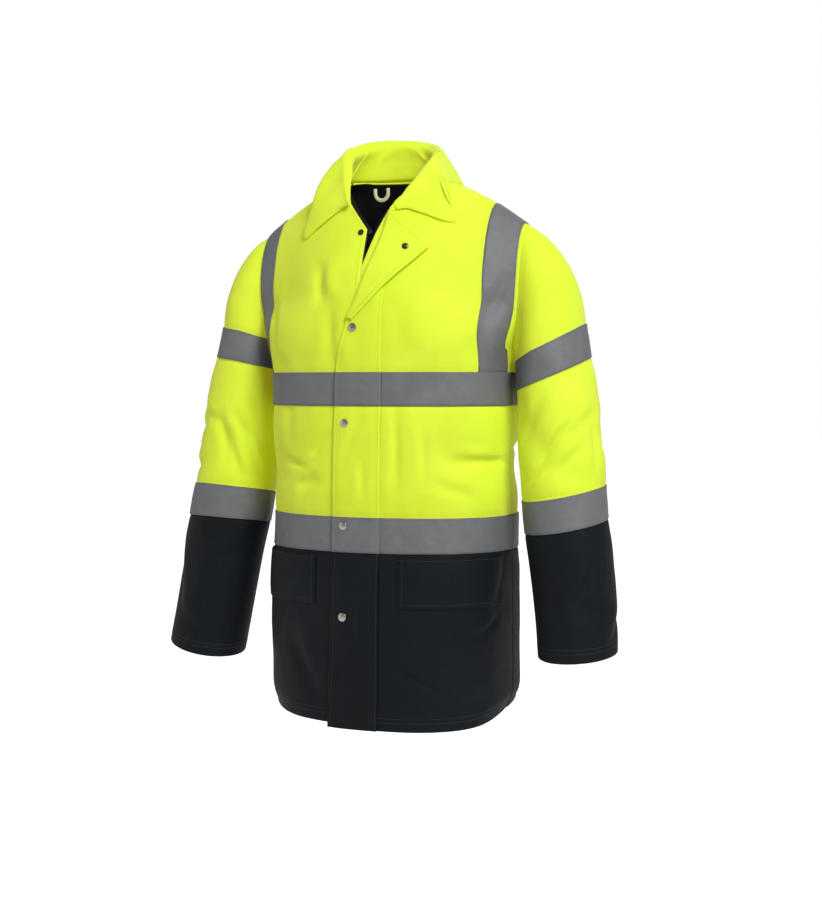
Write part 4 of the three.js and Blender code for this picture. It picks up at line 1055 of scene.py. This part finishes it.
flapSheets = {part: flapSheet(part) for part in ("upper", "lower")}
panelAngles = anglesBetween(0, 90)
for band in bands:
    for side in ("Right", "Left"):
        sheet = shell[f"front{side}Upper"]
        first = 4 if side == "Right" else 9
        part = cutSheet(sheet, bandRows(sheet, band), panelAngles >= first - 0.4)
        tapes[f"{band}TapeFront{side}"] = ([part], f"{band}_tape_front_{side.lower()}")
    halves = [shell["backLeftUpper"], shell["backRightUpper"]]
    part = [cutSheet(half, bandRows(half, band)) for half in halves]
    for half in part:
        half["joined"] = len(half["base"])
    tapes[f"{band}TapeBack"] = (part, f"{band}_tape_back")
    sheet = flapSheets["upper"]
    part = cutSheet(sheet, bandRows(sheet, band))
    foot = onFront(part["across"][:, -1] + 1.3, part["base"][:, -1, 2], np.array(0.6))
    for key in ("base", "outer"):
        part[key] = np.concatenate([part[key], foot[:, None]], 1)
    for key in ("normals", "relief"):
        part[key] = np.concatenate([part[key], part[key][:, -1:]], 1)
    part["across"] = np.concatenate([part["across"], part["across"][:, -1:] + 1.3], 1)
    tapes[f"{band}TapeFlap"] = ([part], f"{band}_tape_flap")
for arm, side in ((-1, "Right"), (1, "Left")):
    sheet = shell[f"sleeve{side}Upper"]
    seamRows = edgedSteps([sleeveRings[arm][i][0] for i in (0, 1, 5, 6)], grain["row"])
    heights = np.concatenate([np.full(grain["sleeveCap"], np.inf), seamRows])
    for where, (top, bottom) in {"Upper": (0, 1), "Lower": (5, 6)}.items():
        high, low = sleeveRings[arm][top][0], sleeveRings[arm][bottom][0]
        part = cutSheet(sheet, (heights <= high + 0.01) & (heights >= low - 0.01))
        tapes[f"sleeveTape{side}{where}"] = ([part], f"sleeve_tape_{side.lower()}_{where.lower()}")
braceSpan = {"Right": (63.5, 84), "Left": (57, 83)}
for side in ("Right", "Left"):
    front, back = shell[f"front{side}Upper"], shell[f"back{side}Upper"]
    inner, outer = braceSpan[side]
    columns = (panelAngles >= inner) & (panelAngles <= outer)
    up = front["base"][:, 0, 2] >= level["chestTop"] - 0.01
    up[np.argmax(up):] = True
    a, b = cutSheet(front, up, columns), cutSheet(back, up, columns)
    strip = {key: np.concatenate([a[key], b[key][::-1][1:]])
             for key in ("base", "relief", "across", "outer")}
    strip.update(flip=a["flip"], closed=False)
    strip["normals"] = gridNormals(strip["base"], flip=a["flip"])
    tapes[f"braceTape{side}"] = ([strip], f"brace_tape_{side.lower()}")
for seed, (name, (sheets, node)) in enumerate(tapes.items()):
    made = [raised(sheet, tape["over"] + tape["thick"], tapeWrinkles(sheet, 70 + seed)) for sheet in sheets]
    tapes[name] = (made, node)
    pieces[name] = makeWall(name, made, tape["thick"], tapeFinish, merge=len(made) > 1)
    dress(pieces[name], "reflective_tape", node)
    declareSheet(made)
print("tape made")

# pocket flaps, collar, storm flap and its turned-back top
pocket = {"over": 0.4, "thick": 1.7, "puff": 0.7, "stitchIn": 6, "from": 16.6, "to": 79.1}
for side in ("Right", "Left"):
    sheet = shell[f"front{side}Lower"]
    nominal = edgedSteps(lowStops, grain["row"])
    rows = (nominal >= level["pocketBottom"] - 0.01) & (nominal <= level["pocketTop"] + 0.01)
    part = cutSheet(sheet, rows, (panelAngles >= pocket["from"]) & (panelAngles <= pocket["to"]))
    edge = np.minimum.reduce([np.linalg.norm(part["base"] - part["base"][:1], axis=-1),
                              np.linalg.norm(part["base"] - part["base"][:, :1], axis=-1),
                              np.linalg.norm(part["base"] - part["base"][:, -1:], axis=-1)])
    puff = pocket["puff"] * smoothStep(edge, 1, 16) - 0.5 * bump(edge, pocket["stitchIn"], 2)
    part = raised(part, pocket["over"] + pocket["thick"], puff)
    shell[f"pocketFlap{side}"] = part
    pieces[f"pocketFlap{side}"] = makeWall(f"pocketFlap{side}", [part], pocket["thick"], darkCloth)
    dress(pieces[f"pocketFlap{side}"], "dark_cloth", f"pocket_flap_{side.lower()}")
    declareSheet([part])

shell["collar"] = collarSheet()
pieces["collar"] = makeWall("foldedCollar", [shell["collar"]], collar["thick"], yellowCloth)
dress(pieces["collar"], "hi_vis_cloth", "collar")
for part, material in (("upper", yellowCloth), ("lower", darkCloth)):
    name = f"stormFlap{part.capitalize()}"
    pieces[name] = makeWall(name, [flapSheets[part]], flap["thick"], material)
    dress(pieces[name], "hi_vis_cloth" if part == "upper" else "dark_cloth", f"storm_flap_{part}")
    declareSheet([flapSheets[part]])
shell["lapel"] = lapelSheet()
pieces["stormFlapLapel"] = makeWall("stormFlapLapel", [shell["lapel"]], flap["thick"], yellowCloth)
dress(pieces["stormFlapLapel"], "hi_vis_cloth", "storm_flap_lapel")
declareSheet([shell["lapel"]])
print("flaps and collar made")

# the lining follows the body inside, with half as many rows and columns
lining = {"depth": 5.2, "thick": 1.2, "neckReach": 7.5, "channel": 64, "swell": 1.6}


def liningSheet(panel, sign):
    stops = [-805, level["waistBottom"], body["underarm"]]
    low = bodySheet(panel, sign, stops, True)
    thin = {key: low[key][::2, ::2] for key in ("base", "normals", "relief", "across")}
    for key in thin:  # the last row and column are kept
        full = low[key]
        if (full.shape[0] - 1) % 2:
            thin[key] = np.concatenate([thin[key], full[-1:, ::2]])
        if (full.shape[1] - 1) % 2:
            last = full[::2, -1:]
            if (full.shape[0] - 1) % 2:
                last = np.concatenate([last, full[-1:, -1:]])
            thin[key] = np.concatenate([thin[key], last], 1)
    across, z = thin["across"], thin["base"][..., 2]
    quilt = np.abs(np.sin(math.pi * across / lining["channel"])) ** 0.6 * lining["swell"]
    outer = thin["base"] + thin["normals"] * (thin["relief"] * 0.8 - lining["depth"] - quilt)[..., None]
    neck = np.abs(thin["base"][:, 0, 0]) > 1
    neck[:-1] |= neck[1:]
    away = outer[:, 0] - outer[:, 1]
    away = away / np.linalg.norm(away, axis=-1, keepdims=True)
    outer[:, 0] = outer[:, 0] + away * np.where(neck, lining["neckReach"], 0)[:, None]
    sheet = {**thin, "outer": outer, "flip": low["flip"], "closed": False}
    if panel == "back":
        sheet["joined"] = int((~neck).sum())
    return sheet


for name, sheets, node in (
    ("liningFrontRight", [liningSheet("right", -1)], "lining_front_right"),
    ("liningFrontLeft", [liningSheet("left", 1)], "lining_front_left"),
    ("liningBack", [liningSheet("back", 1), liningSheet("back", -1)], "lining_back"),
):
    pieces[name] = makeWall(name, sheets, lining["thick"], liningCloth, merge=len(sheets) > 1)
    dress(pieces[name], "lining", node)
    declareSheet(sheets)
print("lining made")

# the hanging loop, a flat tape bent round in its own plane
loop = {"x": -40, "reach": 14, "width": 6, "straight": 8, "thick": 1.4, "standOff": 21}
loopSeam = chestPoint(np.array(loop["x"], float), chestShare(np.array(loop["x"], float), 12.0), 1)
turns = np.linspace(0, math.pi, 33)
loopRows = []
for i, turn in enumerate([0, *turns, math.pi]):
    rise = loop["straight"] if i in (0, len(turns) + 1) else 0
    reach = np.linspace(loop["reach"] - loop["width"], loop["reach"], 5)
    loopRows.append(np.stack([
        loop["x"] + reach * math.cos(turn),
        np.full(5, loopSeam[1] - loop["standOff"]),
        loopSeam[2] - loop["straight"] - reach * math.sin(turn) + rise,
    ], -1))
loopGrid = np.array(loopRows)
loopNormals = gridNormals(loopGrid)
loopSheet = {"base": loopGrid, "normals": loopNormals, "relief": loopGrid[..., 0] * 0,
             "across": np.linspace(-3, 3, 5)[None, :] + 0 * loopGrid[..., 0],
             "outer": loopGrid + loopNormals * loop["thick"], "flip": False, "closed": False}
pieces["hangerLoop"] = makeWall("hangerLoop", [loopSheet], loop["thick"], loopTape)
dress(pieces["hangerLoop"], "loop_tape", "hanger_loop")

# stitches, laid along lines of points by Geometry Nodes, sizes in metres
stitch = {"pitch": 0.0034, "length": 0.0026, "width": 0.0009, "height": 0.0006}


def edgeLine(sheet, edge, inset, first=0, last=1, lift=0.15):
    # a line of points on the sheet's outer face, a set distance in from one of its edges
    outer, normals = sheet["outer"], sheet["normals"]
    if edge in ("top", "bottom"):
        outer, normals = outer.transpose(1, 0, 2), normals.transpose(1, 0, 2)
    if edge in ("top", "end"):
        outer, normals = outer[:, ::-1], normals[:, ::-1]
    count = len(outer)
    line, facing = [], []
    for i in range(int(first * (count - 1)), int(last * (count - 1)) + 1):
        arc = np.concatenate([[0], np.cumsum(np.linalg.norm(np.diff(outer[i], axis=0), axis=-1))])
        if arc[-1] <= inset:
            continue
        line.append([np.interp(inset, arc, outer[i][:, k]) for k in range(3)])
        facing.append([np.interp(inset, arc, normals[i][:, k]) for k in range(3)])
    if sheet["closed"] and edge in ("top", "bottom"):
        line.append(line[0])
        facing.append(facing[0])
    line, facing = np.array(line), np.array(facing)
    return line + facing * lift, facing


def stitchTree(thread):
    tree = bpy.data.node_groups.new("stitchRow", "GeometryNodeTree")
    tree.interface.new_socket("Geometry", in_out="INPUT", socket_type="NodeSocketGeometry")
    for label, value in (("Pitch", stitch["pitch"]), ("Length", stitch["length"]),
                         ("Width", stitch["width"]), ("Height", stitch["height"])):
        socket = tree.interface.new_socket(label, in_out="INPUT", socket_type="NodeSocketFloat")
        socket.default_value = value
    tree.interface.new_socket("Geometry", in_out="OUTPUT", socket_type="NodeSocketGeometry")
    given = addNode(tree, "NodeGroupInput")
    curve = addNode(tree, "GeometryNodeMeshToCurve", {}, {"Mesh": given.outputs["Geometry"]})
    even = addNode(tree, "GeometryNodeResampleCurve", {"mode": "LENGTH"},
                   {"Curve": curve.outputs[0], "Length": given.outputs["Pitch"]})
    tangent = addNode(tree, "GeometryNodeInputTangent")
    facing = addNode(tree, "GeometryNodeInputNamedAttribute", {"data_type": "FLOAT_VECTOR"},
                     {"Name": "facing"})
    size = addNode(tree, "ShaderNodeCombineXYZ", {}, {0: given.outputs["Length"], 1: given.outputs["Width"],
                                                      2: given.outputs["Height"]})
    bead = addNode(tree, "GeometryNodeMeshUVSphere", {}, {"Segments": 6, "Rings": 4, "Radius": 0.5})
    shaped = addNode(tree, "GeometryNodeTransform", {},
                     {"Geometry": bead.outputs[0], "Scale": size.outputs[0]})
    lay = addNode(tree, "FunctionNodeAlignRotationToVector", {"axis": "X"}, {"Vector": tangent.outputs[0]})
    stand = addNode(tree, "FunctionNodeAlignRotationToVector", {"axis": "Z", "pivot_axis": "X"},
                    {"Rotation": lay.outputs[0], "Vector": facing.outputs[0]})
    placed = addNode(tree, "GeometryNodeInstanceOnPoints", {},
                     {"Points": even.outputs[0], "Instance": shaped.outputs[0],
                      "Rotation": stand.outputs[0]})
    real = addNode(tree, "GeometryNodeRealizeInstances", {}, {"Geometry": placed.outputs[0]})
    finish = addNode(tree, "GeometryNodeSetMaterial", {}, {"Geometry": real.outputs[0], "Material": thread})
    addNode(tree, "NodeGroupOutput", {}, {"Geometry": finish.outputs[0]})
    return tree


def applyNodes(piece, tree, values, material):
    modifier = piece.modifiers.new("nodes", "NODES")
    modifier.node_group = tree
    for item in tree.interface.items_tree:
        if item.item_type == "SOCKET" and item.in_out == "INPUT" and item.name in values:
            modifier[item.identifier] = values[item.name]
    view = bpy.context.evaluated_depsgraph_get()
    made = bpy.data.meshes.new_from_object(piece.evaluated_get(view), depsgraph=view)
    piece.modifiers.clear()
    piece.data = made
    if not made.materials:
        made.materials.append(material)
    made.polygons.foreach_set("use_smooth", np.ones(len(made.polygons), bool))
    return piece


def stitchPiece(name, lines, thread):
    verts, edges, facing, base = [], [], [], 0
    for line, face in lines:
        verts += (line / 1000).tolist()
        facing += face.tolist()
        edges += [(base + i, base + i + 1) for i in range(len(line) - 1)]
        base += len(line)
    mesh = bpy.data.meshes.new(name)
    mesh.from_pydata(verts, edges, [])
    layer = mesh.attributes.new("facing", "FLOAT_VECTOR", "POINT")
    layer.data.foreach_set("vector", np.array(facing, float).ravel())
    piece = bpy.data.objects.new(name, mesh)
    scene.collection.objects.link(piece)
    values = {"Pitch": stitch["pitch"], "Length": stitch["length"], "Width": stitch["width"],
              "Height": stitch["height"]}
    applyNodes(piece, stitchTree(thread), values, thread)
    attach(piece, "root")
    print(f"  {name}: {len(piece.data.polygons)} faces")
    return piece


yellowLines, darkLines, greyLines = [], [], []
for name, (sheets, node) in tapes.items():
    for sheet in sheets:
        if name.startswith("brace"):
            sides = ("start", "end")
        else:
            sides = ("bottom", "top")
        greyLines += [edgeLine(sheet, side, tape["stitchIn"]) for side in sides]
for tag in ("frontRight", "frontLeft", "backRight", "backLeft"):
    for inset in (13, 19):
        darkLines.append(edgeLine(shell[tag + "Lower"], "bottom", inset))
    yellowLines.append(edgeLine(shell[tag + "Upper"], "end", 3.5, 0.52, 1))
for tag in ("backRight", "backLeft"):
    yellowLines.append(edgeLine(shell[tag + "Upper"], "top", 3.5, 0.05, 1))
for tag in ("sleeveRight", "sleeveLeft"):
    for inset in (13, 19):
        darkLines.append(edgeLine(shell[tag + "Lower"], "top", inset))
yellowLines.append(edgeLine(shell["frontRightUpper"], "start", 6, 0.6, 0.94))
for part, lines in (("upper", yellowLines), ("lower", darkLines)):
    lines.append(edgeLine(flapSheets[part], "start", flap["stitchIn"], 0, 0.78 if part == "upper" else 1))
    lines.append(edgeLine(flapSheets[part], "end", 2.5))
yellowLines.append(edgeLine(shell["lapel"], "start", flap["stitchIn"], 0.05, 0.93))
yellowLines.append(edgeLine(shell["lapel"], "top", flap["stitchIn"], 0.15, 0.75))
yellowLines.append(edgeLine(shell["collar"], "end", collar["stitchIn"], 0.02, 0.98))
yellowLines.append(edgeLine(shell["collar"], "bottom", collar["stitchIn"], 0.45, 0.95))
yellowLines.append(edgeLine(shell["collar"], "top", collar["stitchIn"], 0.45, 0.95))
for side in ("Right", "Left"):
    part = shell[f"pocketFlap{side}"]
    darkLines += [edgeLine(part, "bottom", pocket["stitchIn"], 0.04, 0.96),
                  edgeLine(part, "start", pocket["stitchIn"], 0.08, 1),
                  edgeLine(part, "end", pocket["stitchIn"], 0.08, 1),
                  edgeLine(part, "top", 3)]
pieces["yellowStitches"] = stitchPiece("yellowStitches", yellowLines, yellowThread)
pieces["darkStitches"] = stitchPiece("darkStitches", darkLines, darkThread)
pieces["greyStitches"] = stitchPiece("greyStitches", greyLines, greyThread)
print("stitches made")

# press studs, turned from a profile and set on the cloth by Geometry Nodes
snap = {"radius": 6.5, "height": 2.6, "openRadius": 5, "socketHeight": 2.2, "postHeight": 2.4,
        "caps": [(-5, -214, 0), (-16, -354, 0), (-17, -504, 1.3), (-17, -637, 0)],
        "lapel": (64, -99), "front": (-9, -72)}
profiles = {  # radius and height as shares of the stud's own radius and height
    "cap": [(0, 1), (0.3, 0.99), (0.55, 0.93), (0.72, 0.82), (0.8, 0.72), (0.86, 0.74), (0.93, 0.7),
            (0.985, 0.5), (1, 0.28), (0.97, 0.05), (0.9, 0), (0, 0)],
    "socket": [(0, 0.35), (0.3, 0.35), (0.34, 0.95), (0.42, 1), (0.6, 0.8), (0.8, 0.72), (0.94, 0.6),
               (1, 0.3), (0.95, 0), (0, 0)],
    "post": [(0, 1), (0.22, 0.98), (0.3, 0.85), (0.28, 0.55), (0.36, 0.42), (0.6, 0.5), (0.86, 0.42),
             (1, 0.22), (0.95, 0), (0, 0)],
}


def studMesh(name, profile, radius, height, metal, sides=28):
    verts, faces = [], []
    turns = [2 * math.pi * i / sides for i in range(sides)]
    for r, h in profile:
        if r == 0:
            verts.append((0, 0, h * height))
        else:
            verts += [(r * radius * math.cos(t), r * radius * math.sin(t), h * height) for t in turns]
    ringStart = lambda i: 1 + (i - 1) * sides
    last = len(verts) - 1
    for s in range(sides):
        n = (s + 1) % sides
        faces.append((0, ringStart(1) + s, ringStart(1) + n))
        for i in range(1, len(profile) - 2):
            a, b = ringStart(i), ringStart(i + 1)
            faces.append((a + s, b + s, b + n, a + n))
        foot = ringStart(len(profile) - 2)
        faces.append((foot + s, last, foot + n))
    mesh = bpy.data.meshes.new(name)
    mesh.from_pydata([(x / 1000, y / 1000, z / 1000) for x, y, z in verts], [], faces)
    mesh.polygons.foreach_set("use_smooth", np.ones(len(mesh.polygons), bool))
    mesh.materials.append(metal)
    return mesh


def studTree(metal):
    tree = bpy.data.node_groups.new("studRow", "GeometryNodeTree")
    tree.interface.new_socket("Geometry", in_out="INPUT", socket_type="NodeSocketGeometry")
    tree.interface.new_socket("Stud", in_out="INPUT", socket_type="NodeSocketObject")
    scale = tree.interface.new_socket("Size", in_out="INPUT", socket_type="NodeSocketFloat")
    scale.default_value = 1.0
    tree.interface.new_socket("Geometry", in_out="OUTPUT", socket_type="NodeSocketGeometry")
    given = addNode(tree, "NodeGroupInput")
    source = addNode(tree, "GeometryNodeObjectInfo", {"transform_space": "ORIGINAL"},
                     {"Object": given.outputs["Stud"]})
    facing = addNode(tree, "GeometryNodeInputNamedAttribute", {"data_type": "FLOAT_VECTOR"},
                     {"Name": "facing"})
    stand = addNode(tree, "FunctionNodeAlignRotationToVector", {"axis": "Z"}, {"Vector": facing.outputs[0]})
    placed = addNode(tree, "GeometryNodeInstanceOnPoints", {}, {
        "Points": given.outputs["Geometry"], "Instance": source.outputs["Geometry"],
        "Rotation": stand.outputs[0], "Scale": given.outputs["Size"]})
    real = addNode(tree, "GeometryNodeRealizeInstances", {}, {"Geometry": placed.outputs[0]})
    finish = addNode(tree, "GeometryNodeSetMaterial", {}, {"Geometry": real.outputs[0], "Material": metal})
    addNode(tree, "NodeGroupOutput", {}, {"Geometry": finish.outputs[0]})
    return tree


def studPiece(name, kind, metal, radius, height, places, nodes):
    turned = studMesh(name + "Source", profiles[kind], radius, height, metal)
    source = bpy.data.objects.new(name + "Source", turned)
    scene.collection.objects.link(source)
    spots = np.array(places, float)
    points = [onFront(x, z, lift) for x, z, lift in spots]
    facing = [frontNormal(x, z) for x, z, lift in spots]
    mesh = bpy.data.meshes.new(name)
    mesh.from_pydata([(p / 1000).tolist() for p in points], [], [])
    layer = mesh.attributes.new("facing", "FLOAT_VECTOR", "POINT")
    layer.data.foreach_set("vector", np.array(facing, float).ravel())
    piece = bpy.data.objects.new(name, mesh)
    scene.collection.objects.link(piece)
    applyNodes(piece, studTree(metal), {"Stud": source, "Size": 1.0}, metal)
    bpy.data.objects.remove(source)
    dress(piece, "snap_metal", *nodes)
    return piece


onFlap = flap["lift"] + flap["thick"] + 0.5
studPiece("snapCaps", "cap", steel, snap["radius"], snap["height"],
          [(x, z, onFlap + more) for x, z, more in snap["caps"]], [f"snap_cap_{i}" for i in (1, 2, 3, 4)])
onLapel = flap["lift"] + flap["layer"] + flap["thick"] + 0.9
studPiece("snapSocket", "socket", agedBrass, snap["openRadius"], snap["socketHeight"],
          [(*snap["lapel"], onLapel)], ["snap_socket_lapel"])
studPiece("snapPost", "post", agedBrass, snap["openRadius"], snap["postHeight"],
          [(*snap["front"], 0.1)], ["snap_post_front"])
print("press studs made")

# the camera stands where the photograph was taken from
viewpoint = {"azimuth": 24, "distance": 2.4, "height": -0.298, "lens": 62.08, "shiftX": 0.0167,
             "shiftY": -0.0722}
camera = bpy.data.objects.new("camera", bpy.data.cameras.new("camera"))
scene.collection.objects.link(camera)
turn = math.radians(viewpoint["azimuth"])
away = viewpoint["distance"]
camera.location = (math.sin(turn) * away, -math.cos(turn) * away, viewpoint["height"])
camera.rotation_euler = (math.radians(90), 0, turn)
camera.data.lens = viewpoint["lens"]
camera.data.sensor_width = 36
camera.data.shift_x = viewpoint["shiftX"]
camera.data.shift_y = viewpoint["shiftY"]
scene.camera = camera

# a pale floor, a white wall and soft lights; metres and watts
studio = {"world": 0.35, "floorZ": -1.5, "floorReach": 40.0, "wallRadius": 30.0, "key": 138, "fill": 17,
          "back": 24}
floorMaterial, floorTree, floorShader = newMaterial("paleFloor")
grainNoise = addNode(floorTree, "ShaderNodeTexNoise", {}, {"Scale": 3.0}).outputs["Fac"]
floorTint = addNode(floorTree, "ShaderNodeMix", {"data_type": "RGBA"},
                    {0: grainNoise, 6: toLinear("#f4f4f4"), 7: toLinear("#fafafa")})
floorTree.links.new(floorTint.outputs[2], floorShader.inputs["Base Color"])
floorShader.inputs["Roughness"].default_value = 0.9
floorShader.inputs["Emission Color"].default_value = (1, 1, 1, 1)
floorShader.inputs["Emission Strength"].default_value = 0.8
floorMesh = bpy.data.meshes.new("floor")
corners = [(x * studio["floorReach"], y * studio["floorReach"], studio["floorZ"])
           for x, y in ((-1, -1), (1, -1), (1, 1), (-1, 1))]
floorMesh.from_pydata(corners, [], [(0, 1, 2, 3)])
floorMesh.materials.append(floorMaterial)
floor = bpy.data.objects.new("floor", floorMesh)
scene.collection.objects.link(floor)
floor.visible_diffuse = False
floor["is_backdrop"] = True


def backdrop():
    # a white studio wall behind, seen by the camera and by nothing else
    material, tree, shader = newMaterial("whiteWall")
    shader.inputs["Base Color"].default_value = (0, 0, 0, 1)
    shader.inputs["Specular IOR Level"].default_value = 0.0
    shader.inputs["Emission Color"].default_value = (1, 1, 1, 1)
    shader.inputs["Emission Strength"].default_value = 1.0
    mesh = bpy.data.meshes.new("wall")
    sides, radius = 48, studio["wallRadius"]
    around = [2 * math.pi * i / sides for i in range(sides)]
    verts = [(radius * math.cos(t), radius * math.sin(t), z)
             for z in (studio["floorZ"], radius) for t in around]
    faces = [(i, (i + 1) % sides, sides + (i + 1) % sides, sides + i) for i in range(sides)]
    mesh.from_pydata(verts, [], faces + [tuple(range(sides, 2 * sides))])
    mesh.materials.append(material)
    wall = bpy.data.objects.new("wall", mesh)
    scene.collection.objects.link(wall)
    wall.visible_diffuse = wall.visible_glossy = wall.visible_shadow = wall.visible_transmission = False
    wall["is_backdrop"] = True


backdrop()


def softLight(name, place, size, power):
    light = bpy.data.lights.new(name, "AREA")
    light.shape = "DISK"
    light.size = size
    light.energy = power
    holder = bpy.data.objects.new(name, light)
    scene.collection.objects.link(holder)
    holder.location = place
    holder.rotation_euler = (Vector((0, 0, -0.35)) - Vector(place)).to_track_quat("-Z", "Y").to_euler()


softLight("keyLight", (2.4, -2.1, 1.9), 1.5, studio["key"])
softLight("fillLight", (-2.6, -1.6, 0.2), 2.4, studio["fill"])
softLight("backLight", (-0.6, 3.0, 1.2), 2.4, studio["back"])
world = bpy.data.worlds.new("studio")
world.use_nodes = True
world.node_tree.nodes["Background"].inputs["Color"].default_value = (1, 1, 1, 1)
world.node_tree.nodes["Background"].inputs["Strength"].default_value = studio["world"]
scene.world = world
scene.view_settings.view_transform = "Standard"

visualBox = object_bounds()
json.dumps([[list(corner) for corner in box] for box in (cadBox, visualBox)])
print("CAD box", [tuple(round(v, 3) for v in corner) for corner in cadBox])
print("visual box", [tuple(round(v, 3) for v in corner) for corner in visualBox])
